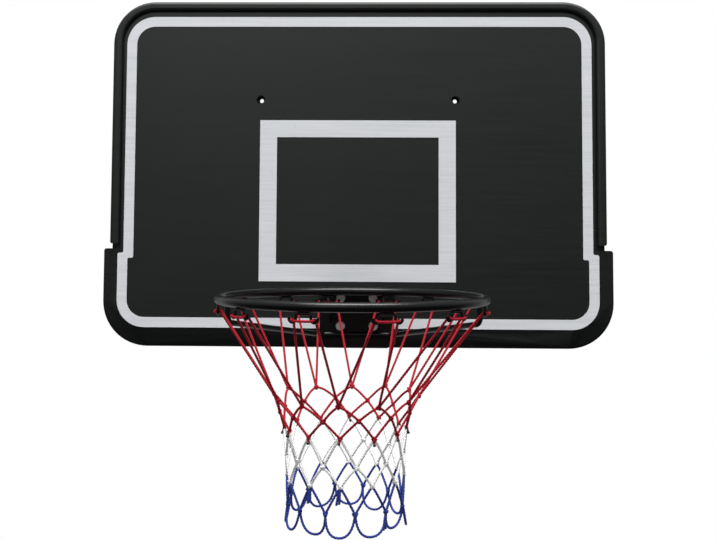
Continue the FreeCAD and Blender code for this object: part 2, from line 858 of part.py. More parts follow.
def on_ring(turn, along, outward, drop):
    """A point near the ring: an angle from the front, then distances along, outward and below it."""
    radius = ring_radius + outward
    out = Vector(math.sin(turn), -math.cos(turn), 0)
    side = Vector(math.cos(turn), math.sin(turn), 0)
    return Vector(0, ring_y, ring_z - drop) + out * radius + side * along


# The hooks of one side by their angle from the front: evenly spaced to the brace, then closer by the bracket
BACK_HOOKS = [size("brace_hook_angle"), size("back_hook_angle"), size("bracket_hook_angle")]
side_angles = [(step + 1 / 2) * size("hook_pitch") for step in range(hook_count // 2 - len(BACK_HOOKS))]
side_angles += BACK_HOOKS
HOOK_ANGLES = side_angles + [-angle for angle in reversed(side_angles)]


def hook_angle(index):
    """The angle of a hook from the front. All hooks are set round by the same small turn."""
    return math.radians(HOOK_ANGLES[index] - size("hook_turn"))


flat_half = size("hook_flat") / 2
bend = size("hook_bend_radius")
loop = size("hook_loop_radius")
bend_drop = size("rod_diameter") / 2 + wire_radius + bend
loop_drop = bend_drop + size("hook_leg")
loop_along = flat_half + bend + loop
hook_floor = loop_drop + loop


def hook_route():
    """The hook's middle line as distances along the ring and below it, from one tip to the other."""
    right = []
    for step in range(ARC_STEPS + 1):
        turn = math.pi / 2 * step / ARC_STEPS
        right.append((flat_half + bend * math.sin(turn), bend_drop - bend * math.cos(turn)))
    for step in range(2 * ARC_STEPS + 1):
        turn = math.pi * step / (2 * ARC_STEPS)
        right.append((loop_along - loop * math.cos(turn), loop_drop + loop * math.sin(turn)))
    right.append((loop_along + loop, loop_drop - size("hook_tip")))
    left = [(-along, drop) for along, drop in reversed(right)]
    return left + right


hooks = []
for index in range(hook_count):
    middle_line = [on_ring(hook_angle(index), along, 0, drop) for along, drop in hook_route()]
    wire = wire_along(middle_line, wire_radius, WIRE_SIDES)
    hooks.append(solid_feature("net_hook_%02d" % (index + 1), wire))


# The net: a cord over each hook, then six rows of knots, and open loops below

CORD_SIDES = 6
ROWS = ["first", "second", "third", "fourth", "fifth", "sixth"]


def knot_place(row, index):
    """The middle of a knot. The net hangs a little aside of the ring's middle, and is turned a little."""
    offset = 1 if row % 2 == 0 else 1 / 2
    turn = (index + offset) * PITCH - math.radians(size("net_turn"))
    radius = size(ROWS[row] + "_row_radius")
    drop = size(ROWS[row] + "_row_drop")
    lean = Vector(-size("net_lean"), 0, 0)
    return on_ring(turn, 0, radius - ring_radius, drop) + lean, turn


def knot_sections(row, index):
    """The rings of points of a knot: a barrel with six sides, drawn in at its two ends."""
    middle, turn = knot_place(row, index)
    out = Vector(math.sin(turn), -math.cos(turn), 0)
    side = Vector(math.cos(turn), math.sin(turn), 0)
    up = Vector(0, 0, 1)
    half = size("knot_width") / 2
    end_share = 0.55
    sections = []
    for reach, share in ((-1, end_share), (0, 1), (1, end_share)):
        corners = []
        for step in range(WIRE_SIDES):
            angle = 2 * math.pi * step / WIRE_SIDES
            spoke = side * math.cos(angle) + up * math.sin(angle)
            corners.append(middle + out * (reach * half * end_share) + spoke * (half * share))
        sections.append(corners)
    return sections


def make_knot(row, index):
    return flat_sided(knot_sections(row, index))


# Two cords that end side by side at one knot lie this far either side of its middle
beside = cord_radius + size("cord_gap") / 2


def cord_end(row, index, aim, aside=0):
    """Where a cord that runs to a point starts: just clear of the knot, and aside of its middle."""
    middle, turn = knot_place(row, index)
    side = Vector(math.cos(turn), math.sin(turn), 0)
    shoulder = side * aside
    run = (aim - middle - shoulder).normalize()
    reach = 0
    for section in knot_sections(row, index):
        for corner in section:
            reach = max(reach, (corner - middle).dot(run))
    return middle + shoulder + run * (reach + size("cord_gap") - shoulder.dot(run))


def cord_between(row, index, next_row, next_index):
    upper = knot_place(row, index)[0]
    lower = knot_place(next_row, next_index)[0]
    ends = [cord_end(row, index, lower), cord_end(next_row, next_index, upper)]
    return wire_along(ends, cord_radius, CORD_SIDES)


def cords_from(row):
    """The two cords that run down from every knot of a row to the next row."""
    solids = []
    shift = (0, 1) if row % 2 == 0 else (-1, 0)
    for index in range(hook_count):
        for step in shift:
            solids.append(cord_between(row, index, row + 1, (index + step) % hook_count))
    return solids


wrap = wire_radius + cord_radius + size("cord_gap")
corner_share = math.tan(math.pi / 8)


def over_loop(turn, along):
    """A cord's way over the floor of one hook loop, from the net's side to the ring's outer side."""
    near_turn = wrap * corner_share
    return [
        on_ring(turn, along, -wrap, hook_floor - near_turn),
        on_ring(turn, along, -near_turn, hook_floor - wrap),
        on_ring(turn, along, near_turn, hook_floor - wrap),
        on_ring(turn, along, wrap, hook_floor - near_turn),
    ]


def hook_cord(index):
    """The cord from one knot of the first row, over both loops of a hook, to the next knot."""
    left = over_loop(hook_angle(index), -loop_along)
    right = over_loop(hook_angle(index), loop_along)
    start = cord_end(0, (index - 1) % hook_count, left[0], beside)
    end = cord_end(0, index, right[0], -beside)
    return wire_along([start] + left + list(reversed(right)) + [end], cord_radius, CORD_SIDES)


# The open loops' shape, as shares of the way across and of the way down
LOOP_SHARES = [(0.07, 0.55), (0.2, 0.9), (0.4, 1.0), (0.6, 1.0), (0.8, 0.9), (0.93, 0.55)]
LAST_ROW = len(ROWS) - 1


def bottom_loop(index):
    """An open loop that hangs between two knots of the last row."""
    after = (index + 1) % hook_count
    first = knot_place(LAST_ROW, index)[0]
    second = knot_place(LAST_ROW, after)[0]
    middle = (first + second) / 2
    low = Vector(middle.x, middle.y, ring_z - size("loop_drop") + cord_radius)
    chord = second - first
    depth = first.z - low.z
    route = []
    for along_share, depth_share in LOOP_SHARES:
        route.append(first + chord * along_share - Vector(0, 0, depth * depth_share))
    start = cord_end(LAST_ROW, index, route[0], beside)
    end = cord_end(LAST_ROW, after, route[-1], -beside)
    return wire_along([start] + route + [end], cord_radius, CORD_SIDES)


def knots_of(row):
    return [make_knot(row, index) for index in range(hook_count)]


red_solids = [hook_cord(index) for index in range(hook_count)]
red_solids += knots_of(0) + cords_from(0) + knots_of(1) + cords_from(1) + knots_of(2)
white_solids = cords_from(2) + knots_of(3) + cords_from(3) + knots_of(4)
blue_solids = cords_from(4) + knots_of(5) + [bottom_loop(index) for index in range(hook_count)]

red = solid_feature("net_red_cord", Part.makeCompound(red_solids))
white = solid_feature("net_white_cord", Part.makeCompound(white_solids))
blue = solid_feature("net_blue_cord", Part.makeCompound(blue_solids))


# Every piece is lowered to the frame, tested and written

PIECES = [
    backboard, border, target, flange, top_plate, gusset_left, gusset_right, brace, bolts, washers,
    rear_washers, nuts, rear_plate, red, white, blue,
] + hooks
for piece in PIECES:
    lower_to_frame(piece)
PIECES.append(ring)
doc.recompute()

for thing in doc.Objects:
    if "Invalid" in thing.State or "Error" in thing.State:
        raise RuntimeError("%s is %s" % (thing.Label, thing.State))

os.makedirs("parts", exist_ok=True)
for piece in PIECES:
    shape = piece.Shape
    if shape.isNull() or not shape.isValid():
        raise RuntimeError("%s has no valid shape" % piece.Label)
    shape.exportStep("parts/%s.step" % piece.Label)
    box = shape.BoundBox
    print(piece.Label, len(shape.Solids), "solids", round(shape.Volume), "cubic mm",
          "z", round(box.ZMin, 1), round(box.ZMax, 1))
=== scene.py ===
# %% [markdown]
# # A basketball backboard with its ring and its net
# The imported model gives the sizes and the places: a hollow moulded board, a welded steel rim and a net on
# wire hooks. This lesson adds what the eye sees at arm's length: rounded edges, threads, twisted cord, tied
# knots, and finishes with grain and wear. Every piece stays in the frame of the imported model, in metres.

# %% Load the frame
import math
import random

import bmesh
import bpy
from mathutils import Matrix, Vector


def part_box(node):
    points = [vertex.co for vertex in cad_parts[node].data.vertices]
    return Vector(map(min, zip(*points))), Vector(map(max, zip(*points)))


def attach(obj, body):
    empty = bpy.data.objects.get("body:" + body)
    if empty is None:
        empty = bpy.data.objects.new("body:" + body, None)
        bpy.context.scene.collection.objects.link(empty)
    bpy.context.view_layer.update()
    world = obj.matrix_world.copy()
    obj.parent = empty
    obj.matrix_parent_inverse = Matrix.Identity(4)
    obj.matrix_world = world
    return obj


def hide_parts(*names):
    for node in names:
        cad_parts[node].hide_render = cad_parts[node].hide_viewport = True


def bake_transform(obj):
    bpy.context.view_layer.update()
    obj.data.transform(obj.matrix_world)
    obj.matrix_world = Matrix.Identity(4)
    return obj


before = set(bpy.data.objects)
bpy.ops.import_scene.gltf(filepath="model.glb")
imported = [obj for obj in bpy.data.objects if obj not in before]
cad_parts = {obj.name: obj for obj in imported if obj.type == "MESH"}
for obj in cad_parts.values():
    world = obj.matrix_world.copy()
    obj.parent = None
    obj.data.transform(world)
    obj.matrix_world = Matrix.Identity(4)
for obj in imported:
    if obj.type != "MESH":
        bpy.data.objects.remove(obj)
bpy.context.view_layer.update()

# %% [markdown]
# ## The camera
# The photograph was taken from in front of the board and a little above the ring, with a normal lens. Six
# numbers place the camera: its position and its three turns. The optical axis met the picture above its
# middle, so the lens is shifted down by an eighth of the picture's width. Turning the camera instead would
# frame the board as well, but its upright edges would lean.

# %% Place the camera
PICTURE_WIDTH, FOCAL_PIXELS, AXIS_ROW, MIDDLE_ROW = 716, 956.75, 183.5, 270.0
SENSOR_WIDTH, NEAREST, FURTHEST = 36.0, 0.05, 100.0
CAMERA_PLACE, CAMERA_TURNS = (0.0436, -2.0966, -0.3074), (-1.179, 3.441, 0.297)
scene = bpy.context.scene
camera_data = bpy.data.cameras.new("court_camera")
camera_data.sensor_width = SENSOR_WIDTH
camera_data.lens = FOCAL_PIXELS / PICTURE_WIDTH * SENSOR_WIDTH
camera_data.shift_y = (AXIS_ROW - MIDDLE_ROW) / PICTURE_WIDTH
camera_data.clip_start, camera_data.clip_end = NEAREST, FURTHEST
camera = bpy.data.objects.new("court_camera", camera_data)
scene.collection.objects.link(camera)


def look(yaw, pitch, roll):
    """A camera's turn from three angles in degrees: to the right, upwards, and about its own axis."""
    yaw, pitch, roll = (math.radians(angle) for angle in (yaw, pitch, roll))
    ahead = Vector((math.sin(yaw) * math.cos(pitch), math.cos(yaw) * math.cos(pitch), math.sin(pitch)))
    level = Vector((math.cos(yaw), -math.sin(yaw), 0))
    over = level.cross(ahead)
    right = level * math.cos(roll) + over * math.sin(roll)
    up = right.cross(ahead)
    return Matrix((right, up, -ahead)).transposed()


camera.matrix_world = Matrix.Translation(CAMERA_PLACE) @ look(*CAMERA_TURNS).to_4x4()
bpy.context.scene.camera = camera
print("lens:", round(camera_data.lens, 2), "mm, shift:", round(camera_data.shift_y, 4))

# %% [markdown]
# ## Small tools
# The light, the finishes and most of the shapes below are node trees that the script builds. A few helpers
# keep that short: one adds a node, one does a sum, one turns a mask into a range of values, and one makes a
# group with named sockets. Wherever a helper takes a value, a socket is joined and anything else is set.

# %% Helpers for node trees
def add_node(tree, kind, values=None, **settings):
    """A new node. Settings are its properties, and values go to its input sockets by name or number."""
    node = tree.nodes.new(kind)
    for name, value in settings.items():
        setattr(node, name, value)
    for name, value in (values or {}).items():
        if isinstance(value, bpy.types.NodeSocket):
            tree.links.new(value, node.inputs[name])
        else:
            node.inputs[name].default_value = value
    return node


def sum_of(tree, operation, *values):
    """A Math node's result."""
    return add_node(tree, "ShaderNodeMath", dict(enumerate(values)), operation=operation).outputs[0]


def between(tree, factor, low, high):
    """A value that goes from low to high as the factor goes from 0 to 1."""
    return add_node(tree, "ShaderNodeMapRange", {"Value": factor, "To Min": low, "To Max": high}).outputs[0]


def new_group(name, kind, inputs, outputs):
    """An empty node group with named sockets, and the sockets of its two end nodes."""
    tree = bpy.data.node_groups.new(name, kind)
    for label, socket, value in inputs:
        made = tree.interface.new_socket(label, in_out="INPUT", socket_type=socket)
        if value is not None:
            made.default_value = value
    for label, socket in outputs:
        tree.interface.new_socket(label, in_out="OUTPUT", socket_type=socket)
    return tree, tree.nodes.new("NodeGroupInput").outputs, tree.nodes.new("NodeGroupOutput").inputs


print("tree helpers ready")

# %% Helpers for objects and finishes
def new_object(name, data):
    """A new object in the scene."""
    thing = bpy.data.objects.new(name, data)
    scene.collection.objects.link(thing)
    return thing


def socket_name(word):
    """A socket's label from a Python word: twist_length gives Twist Length."""
    return word.replace("_", " ").title().replace("Ior", "IOR")


def new_finish(name, **sockets):
    """A material, its node tree and its Principled shader. Words name the shader's sockets."""
    finish = bpy.data.materials.new(name)
    finish.use_nodes = True
    shader = finish.node_tree.nodes["Principled BSDF"]
    for word, value in sockets.items():
        shader.inputs[socket_name(word)].default_value = value
    return finish, finish.node_tree, shader


print("object helpers ready, for sockets such as", socket_name("specular_ior_level"))

# %% [markdown]
# ## The floor
# A ring hangs 3.05 metres above its court, so the pale floor lies that far below it. It is a round disc,
# which shows no corner from any side. Reflected rays do not see it, because so much white under the object
# would light it from below far more than the photograph shows. The Standard view keeps white paper white.

# %% Lay the floor
RING_ABOVE_COURT, FLOOR_RADIUS, FLOOR_SIDES = 3.05, 6.0, 96
scene.view_settings.view_transform = "Standard"
floor_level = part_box("rim_ring")[0][2] - RING_ABOVE_COURT
floor_mesh = bpy.data.meshes.new("floor")
floor_rim = [(FLOOR_RADIUS * math.cos(turn), FLOOR_RADIUS * math.sin(turn), floor_level)
             for turn in (2 * math.pi * side / FLOOR_SIDES for side in range(FLOOR_SIDES))]
floor_mesh.from_pydata(floor_rim, [], [range(FLOOR_SIDES)])
floor = new_object("floor", floor_mesh)
floor_finish, *_ = new_finish("pale_floor", base_color=(0.88, 0.88, 0.88, 1), roughness=0.9)
floor_mesh.materials.append(floor_finish)
floor.visible_diffuse = floor.visible_glossy = False
print("floor at", round(floor_level, 3), "m")

# %% [markdown]
# ## The sky
# The object was photographed before white paper, and lit from above: the roll and the ring are bright on
# top, the margin below the white line is nearly black, and the cords that lean back under the ring are in
# shade. So the sky is white where the camera sees it. As a light it fades from above to below, and the
# paper behind the object shines on its edges. One tree does both: the camera's own rays take the white, and
# all others the fades.

# %% Paint the sky
SKY_ABOVE, SKY_BELOW, PAPER_BEHIND = 0.44, 0.015, 0.5
FADE_ENDS = ("From Min", "From Max", "To Min", "To Max")
FADES = {"Z": (-0.3, 0.5, SKY_BELOW, SKY_ABOVE), "Y": (0.2, 0.7, 0, PAPER_BEHIND)}
sky = bpy.data.worlds.new("white_paper")
scene.world = sky
sky.use_nodes = True
tree = sky.node_tree
direction = add_node(tree, "ShaderNodeTexCoord").outputs["Generated"]
parts = add_node(tree, "ShaderNodeSeparateXYZ", {0: direction}).outputs
fades = [add_node(tree, "ShaderNodeMapRange", {"Value": parts[axis], **dict(zip(FADE_ENDS, ends))},
                  interpolation_type="SMOOTHSTEP").outputs[0] for axis, ends in FADES.items()]
seen = add_node(tree, "ShaderNodeLightPath").outputs["Is Camera Ray"]
paper = tree.nodes["Background"].inputs
paper["Color"].default_value = (1, 1, 1, 1)
tree.links.new(between(tree, seen, sum_of(tree, "MAXIMUM", *fades), 1.0), paper["Strength"])
print("sky light:", SKY_ABOVE, "above,", SKY_BELOW, "below,", PAPER_BEHIND, "behind")

# %% [markdown]
# ## The lamps
# A wide softbox high overhead draws the shapes, and a small lamp fills from the front. The third lamp
# stands for the light that a pale floor throws back up, which brightens the cords. Glossy surfaces do not
# mirror it, because it would draw a white line along the underside of the black ring.

# %% Hang the lamps
def add_lamp(name, place, aim, **settings):
    """An area lamp that points from one place at another."""
    lamp = bpy.data.lights.new(name, "AREA")
    for setting, value in settings.items():
        setattr(lamp, setting, value)
    thing = new_object(name, lamp)
    thing.location = place
    thing.rotation_euler = (Vector(aim) - Vector(place)).to_track_quat("-Z", "Y").to_euler()
    return thing


add_lamp("top_softbox", (0, -2.0, 7.0), (0, -0.35, -0.4), energy=1100, shape="RECTANGLE",
         size=6.2, size_y=2.9)
add_lamp("front_fill", (-0.8, -3.0, 1.2), (0, 0, -0.3), energy=9, shape="RECTANGLE", size=1.4, size_y=1.4)
bounce = add_lamp("floor_bounce", (0, -0.5, -3.3), (0, -0.5, 0), energy=80, shape="SQUARE", size=6.0)
bounce.visible_glossy = bounce.visible_camera = False
print("lamps:", [light.name for light in bpy.data.lights])

# %% [markdown]
# ## Grain, for moulded and coated surfaces
# Moulded plastic and painted steel are never one flat tone. This group mixes a fine mottle with long level
# streaks, as a sheet of plastic has where it was drawn over the mould. Noise is enough for both: the
# streaks are noise that is squeezed in height. An effect that several finishes share is made once, as a
# group, and each finish then gives it its own values.

# %% Make the grain group
FLOAT, VECTOR = "NodeSocketFloat", "NodeSocketVector"
grain, g_in, g_out = new_group(
    "moulded_grain", "ShaderNodeTree",
    [("Scale", FLOAT, 400.0), ("Streak", FLOAT, 0.5), ("Stretch", VECTOR, (1, 1, 12))],
    [("Tone", FLOAT), ("Height", FLOAT)])
place = add_node(grain, "ShaderNodeTexCoord").outputs["Object"]
fine = add_node(grain, "ShaderNodeTexNoise", {"Vector": place, "Scale": g_in["Scale"], "Detail": 3.0})
drawn = add_node(grain, "ShaderNodeVectorMath", {0: place, 1: g_in["Stretch"]}, operation="MULTIPLY")
streaks = add_node(grain, "ShaderNodeTexNoise",
                   {"Vector": drawn.outputs[0], "Scale": 9.0, "Detail": 5.0, "Roughness": 0.65})
level = sum_of(grain, "MULTIPLY", streaks.outputs[0], g_in["Streak"])
mottle = sum_of(grain, "MULTIPLY", fine.outputs[0], sum_of(grain, "SUBTRACT", 1.0, g_in["Streak"]))
grain.links.new(sum_of(grain, "ADD", level, mottle), g_out["Tone"])
grain.links.new(fine.outputs[0], g_out["Height"])
print("grain nodes:", len(grain.nodes))

# %% [markdown]
# ## Wear, for what balls and hands touch
# A board in use has thin scratches and a film of dust. The scratches are the peaks of a squeezed noise,
# whose place another noise bends a little so that they do not run dead straight. The dust is a cloudy noise
# with its low half cut off. Both leave the group as masks, and each finish decides what they do to it.

# %% Make the wear group
wear, w_in, w_out = new_group(
    "handling_wear", "ShaderNodeTree", [("Scratch Scale", FLOAT, 30.0), ("Dust Scale", FLOAT, 6.0)],
    [("Scratches", FLOAT), ("Dust", FLOAT)])
place = add_node(wear, "ShaderNodeTexCoord").outputs["Object"]
bend = add_node(wear, "ShaderNodeTexNoise", {"Vector": place, "Scale": 3.0, "Detail": 2.0})
shifted = add_node(wear, "ShaderNodeVectorMath", {0: place, 1: bend.outputs["Color"]}, operation="ADD")
squeezed = add_node(wear, "ShaderNodeVectorMath", {0: shifted.outputs[0], 1: (1.0, 1.0, 14.0)},
                    operation="MULTIPLY")
lines = add_node(wear, "ShaderNodeTexNoise",
                 {"Vector": squeezed.outputs[0], "Scale": w_in["Scratch Scale"], "Detail": 1.0})
cloud = add_node(wear, "ShaderNodeTexNoise",
                 {"Vector": place, "Scale": w_in["Dust Scale"], "Detail": 6.0, "Roughness": 0.7})
for label, noise, start, full in (("Scratches", lines, 0.70, 0.78), ("Dust", cloud, 0.45, 0.75)):
    mask = add_node(wear, "ShaderNodeMapRange",
                    {"Value": noise.outputs[0], "From Min": start, "From Max": full})
    wear.links.new(mask.outputs[0], w_out[label])
print("wear nodes:", len(wear.nodes))

# %% [markdown]
# ## Twist and painted shade, for the cords
# A cord is twisted from strands, and a strand from fine yarns. The strands are real geometry here. This
# group reads two values that the cord's own mesh carries: how far along it a point lies, and whether it is
# on a strand's back or in the dip between two. It paints shade into the dips, darker the deeper they lie,
# and adds the yarns as a wave. A pattern on the mesh's own values follows the cord round every bend, where
# one in space would cut across it.

# %% Make the cord group
twist_and_painted_shade, t_in, t_out = new_group(
    "cord_twist", "ShaderNodeTree", [("Yarns", FLOAT, 900.0), ("Groove", FLOAT, 0.5)],
    [("Shade", FLOAT), ("Height", FLOAT)])
lobe = add_node(twist_and_painted_shade, "ShaderNodeAttribute", attribute_name="lobe").outputs["Fac"]
along = add_node(twist_and_painted_shade, "ShaderNodeAttribute", attribute_name="along").outputs["Fac"]
place = add_node(twist_and_painted_shade, "ShaderNodeTexCoord").outputs["Object"]
hair = add_node(twist_and_painted_shade, "ShaderNodeTexNoise", {"Vector": place, "Scale": 1400.0, "Detail": 2.0}).outputs[0]
phase = sum_of(twist_and_painted_shade, "ADD", sum_of(twist_and_painted_shade, "MULTIPLY", along, t_in["Yarns"]),
               sum_of(twist_and_painted_shade, "MULTIPLY", lobe, 2.0))
yarn = sum_of(twist_and_painted_shade, "MULTIPLY_ADD", sum_of(twist_and_painted_shade, "SINE", phase), 0.5, 0.5)
# Painted shade: the dips between strands are darkened, more the deeper they lie.
crest = add_node(twist_and_painted_shade, "ShaderNodeMapRange", {"Value": lobe, "From Min": -1.0, "From Max": 0.4})
painted_hollow_shade = sum_of(twist_and_painted_shade, "MULTIPLY", sum_of(twist_and_painted_shade, "SUBTRACT", 1.0, crest.outputs[0]), t_in["Groove"])
lit = sum_of(twist_and_painted_shade, "SUBTRACT", 1.0, painted_hollow_shade)
worn = sum_of(twist_and_painted_shade, "MULTIPLY_ADD", hair, 0.5, 0.75)
twist_and_painted_shade.links.new(sum_of(twist_and_painted_shade, "MULTIPLY", lit, worn), t_out["Shade"])
twist_and_painted_shade.links.new(sum_of(twist_and_painted_shade, "ADD", sum_of(twist_and_painted_shade, "MULTIPLY", yarn, 0.6), hair), t_out["Height"])
print("cord nodes:", len(twist_and_painted_shade.nodes))

# %% [markdown]
# ## The finishes
# Nine finishes cover the object: black moulded plastic, the white printed line, black powder coat, pale and
# dull zinc, three colours of cord and the dark sealed end of a cut cord. Each keeps its Principled shader
# in the material, and takes its changing colours, roughness and bumps from the shared groups. Four short
# helpers do the joining.

# %% Helpers for finishes
def use_group(tree, group, **values):
    """A shared group's outputs, with this finish's own values."""
    named = {socket_name(word): value for word, value in values.items()}
    return add_node(tree, "ShaderNodeGroup", named, node_tree=group).outputs


def ramp(tree, factor, *stops):
    """Colours at given values of a factor."""
    node = add_node(tree, "ShaderNodeValToRGB", {"Fac": factor})
    bar = node.color_ramp.elements
    while len(bar) < len(stops):
        bar.new(0.5)
    for element, (spot, tone) in zip(bar, stops):
        element.position, element.color = spot, (*tone, 1)
    return node.outputs["Color"]


def overlaid(tree, body, mask, most, tone):
    """A colour that goes part of the way to another tone where a mask is light."""
    return add_node(tree, "ShaderNodeMix", {"Factor": between(tree, mask, 0.0, most), 6: body, 7: (*tone, 1)},
                    data_type="RGBA").outputs[2]


def bump(tree, shader, height, strength, distance):
    """A relief too fine for the mesh."""
    node = add_node(tree, "ShaderNodeBump", {"Height": height, "Strength": strength, "Distance": distance})
    tree.links.new(node.outputs[0], shader.inputs["Normal"])


print("finish helpers ready")

# %% [markdown]
# ## Black moulded plastic
# The board's plastic is nearly black with a satin shine. One dark colour would look like a hole in the
# picture, so its tone drifts along the level streaks and dust greys it in places. The roughness follows the
# same grain, which breaks up the softbox's shine.

# %% Mix the plastic
plastic, tree, shader = new_finish("black_moulded_plastic", specular_ior_level=0.52,
                                   specular_tint=(0.93, 1.0, 0.96, 1))
skin = use_group(tree, grain, scale=650.0, streak=0.72, stretch=(0.5, 0.5, 16.0))
film = use_group(tree, wear, scratch_scale=18.0, dust_scale=7.0)
body = ramp(tree, skin["Tone"], (0.30, (0.0018, 0.0023, 0.0020)), (0.5, (0.0034, 0.0041, 0.0037)),
            (0.72, (0.0060, 0.0070, 0.0064)))
dusted = overlaid(tree, body, film["Dust"], 0.22, (0.010, 0.011, 0.011))
tree.links.new(dusted, shader.inputs["Base Color"])
tree.links.new(between(tree, skin["Tone"], 0.40, 0.62), shader.inputs["Roughness"])
bump(tree, shader, skin["Height"], 0.25, 0.0006)
print(plastic.name, "nodes:", len(tree.nodes))

# %% [markdown]
# ## White printed line
# The lines are a thin white film on the black face, and the film is uneven: it is greyer in some streaks,
# and scratches show the dark under it. The same two groups give both, with values of their own.

# %% Mix the white line
white_line, tree, shader = new_finish("white_printed_line", specular_ior_level=0.4)
skin = use_group(tree, grain, scale=500.0, streak=0.8, stretch=(0.6, 0.6, 20.0))
film = use_group(tree, wear, scratch_scale=26.0, dust_scale=11.0)
body = ramp(tree, skin["Tone"], (0.30, (0.67, 0.69, 0.72)), (0.55, (0.765, 0.785, 0.815)),
            (0.75, (0.815, 0.825, 0.845)))
marked = overlaid(tree, body, film["Scratches"], 0.35, (0.40, 0.40, 0.41))
tree.links.new(marked, shader.inputs["Base Color"])
tree.links.new(between(tree, skin["Tone"], 0.5, 0.75), shader.inputs["Roughness"])
bump(tree, shader, skin["Height"], 0.15, 0.0004)
print(white_line.name, "nodes:", len(tree.nodes))

# %% [markdown]
# ## Black powder coat
# The rim's steel has a baked powder coat, finer in grain than the plastic and a little glossier. Where
# hooks and balls rub it, it is paler, and dust makes it rougher instead of lighter.

# %% Mix the powder coat
coat, tree, shader = new_finish("black_powder_coat", specular_ior_level=0.32)
skin = use_group(tree, grain, scale=900.0, streak=0.25, stretch=(1.0, 1.0, 1.0))
film = use_group(tree, wear, scratch_scale=40.0, dust_scale=16.0)
body = ramp(tree, skin["Tone"], (0.35, (0.0022, 0.0024, 0.0024)), (0.7, (0.0050, 0.0053, 0.0053)))
rubbed = overlaid(tree, body, film["Scratches"], 0.4, (0.035, 0.035, 0.036))
tree.links.new(rubbed, shader.inputs["Base Color"])
tree.links.new(between(tree, film["Dust"], 0.28, 0.40), shader.inputs["Roughness"])
bump(tree, shader, skin["Height"], 0.12, 0.0003)
print(coat.name, "nodes:", len(tree.nodes))

# %% [markdown]
# ## Zinc
# The bolts, nuts and washers are plated with zinc, pale and hardly a mirror any more. The plate behind the
# board is duller and more like bare metal. One function makes both, from how metallic they are and from
# their tones.

# %% Mix pale and dull zinc
def zinc_finish(name, metal, *tones):
    """Zinc with a drawn grain, duller where dust lies on it."""
    finish, tree, shader = new_finish(name, metallic=metal)
    skin = use_group(tree, grain, scale=700.0, streak=0.6, stretch=(1.0, 1.0, 25.0))
    film = use_group(tree, wear, scratch_scale=60.0, dust_scale=45.0)
    body = ramp(tree, skin["Tone"], *zip((0.3, 0.55, 0.75), tones))
    dulled = overlaid(tree, body, film["Dust"], 0.45, (0.33, 0.32, 0.30))
    tree.links.new(dulled, shader.inputs["Base Color"])
    tree.links.new(between(tree, film["Dust"], 0.30, 0.55), shader.inputs["Roughness"])
    bump(tree, shader, skin["Height"], 0.2, 0.0003)
    return finish


pale_zinc = zinc_finish("pale_zinc", 0.15, (0.60, 0.60, 0.58), (0.78, 0.78, 0.75), (0.87, 0.86, 0.81))
dull_zinc = zinc_finish("dull_zinc", 0.85, (0.26, 0.27, 0.28), (0.36, 0.37, 0.38), (0.44, 0.44, 0.44))
print("zinc:", pale_zinc.name, dull_zinc.name)

# %% [markdown]
# ## Cord in three colours
# The net is red at the top, then white, then blue. The dye is one colour; each cord's deeper tone is
# painted shade, laid in the hollows between the strands, and the dye's lighter tone lies on their backs.
# White cord gets shallower painted shade. A cut end is melted to a dark,
# glossy drop.

# %% Dye the cords and melt an end
def cord_finish(name, painted_hollow_shade_tone, back_tone, groove):
    """Twisted cord: painted shade in the hollows between its strands, and the lighter dye on their backs."""
    finish, tree, shader = new_finish(name, roughness=0.8, specular_ior_level=0.14, sheen_weight=0.06,
                                      sheen_roughness=0.5)
    lay = use_group(tree, twist_and_painted_shade, yarns=5200.0, groove=groove)
    dye = ramp(tree, lay["Shade"], (0.2, painted_hollow_shade_tone), (0.95, back_tone))
    tree.links.new(dye, shader.inputs["Base Color"])
    bump(tree, shader, lay["Height"], 0.5, 0.0004)
    return finish


# Each cord's first tone is painted shade for the dips between its strands, and the second is the dye on their
# backs.
red_cord = cord_finish("red_cord", (0.097, 0.0035, 0.008), (0.475, 0.0115, 0.025), 0.75)
white_cord = cord_finish("white_cord", (0.86, 0.86, 0.87), (0.97, 0.97, 0.97), 0.3)
blue_cord = cord_finish("blue_cord", (0.013, 0.019, 0.092), (0.042, 0.076, 0.41), 0.75)

sealed, tree, shader = new_finish("sealed_cord_end", specular_ior_level=0.5)
skin = use_group(tree, grain, scale=900.0, streak=0.0)
char = ramp(tree, skin["Tone"], (0.3, (0.004, 0.004, 0.004)), (0.7, (0.03, 0.027, 0.026)))
tree.links.new(char, shader.inputs["Base Color"])
tree.links.new(between(tree, skin["Tone"], 0.25, 0.5), shader.inputs["Roughness"])
bump(tree, shader, skin["Height"], 0.5, 0.0006)
print("finishes:", [m.name for m in bpy.data.materials if m != floor_finish])

# %% [markdown]
# ## The board and the steel plates
# The imported solids have the right sizes but razor edges. A copy of a solid is merged into one skin, its
# small triangles are joined into whole faces, and a bevel breaks its edges as a press or a mould does. The
# copy then stands for the solid, which stays behind, hidden. Weighted normals keep the flat faces
# flat beside the rounds.

# %% A helper that softens a copy of a imported solid
SAME_POINT, SAME_LEVEL = 1e-6, 3e-4
SAME_FACE, SHARP, CREASE = 0.5, 40.0, 9.0
BEVEL_STEPS = 2


def join_triangles(work):
    """Joins triangles that lie in one plane."""
    bmesh.ops.dissolve_limit(work, angle_limit=math.radians(SAME_FACE), verts=work.verts, edges=work.edges)


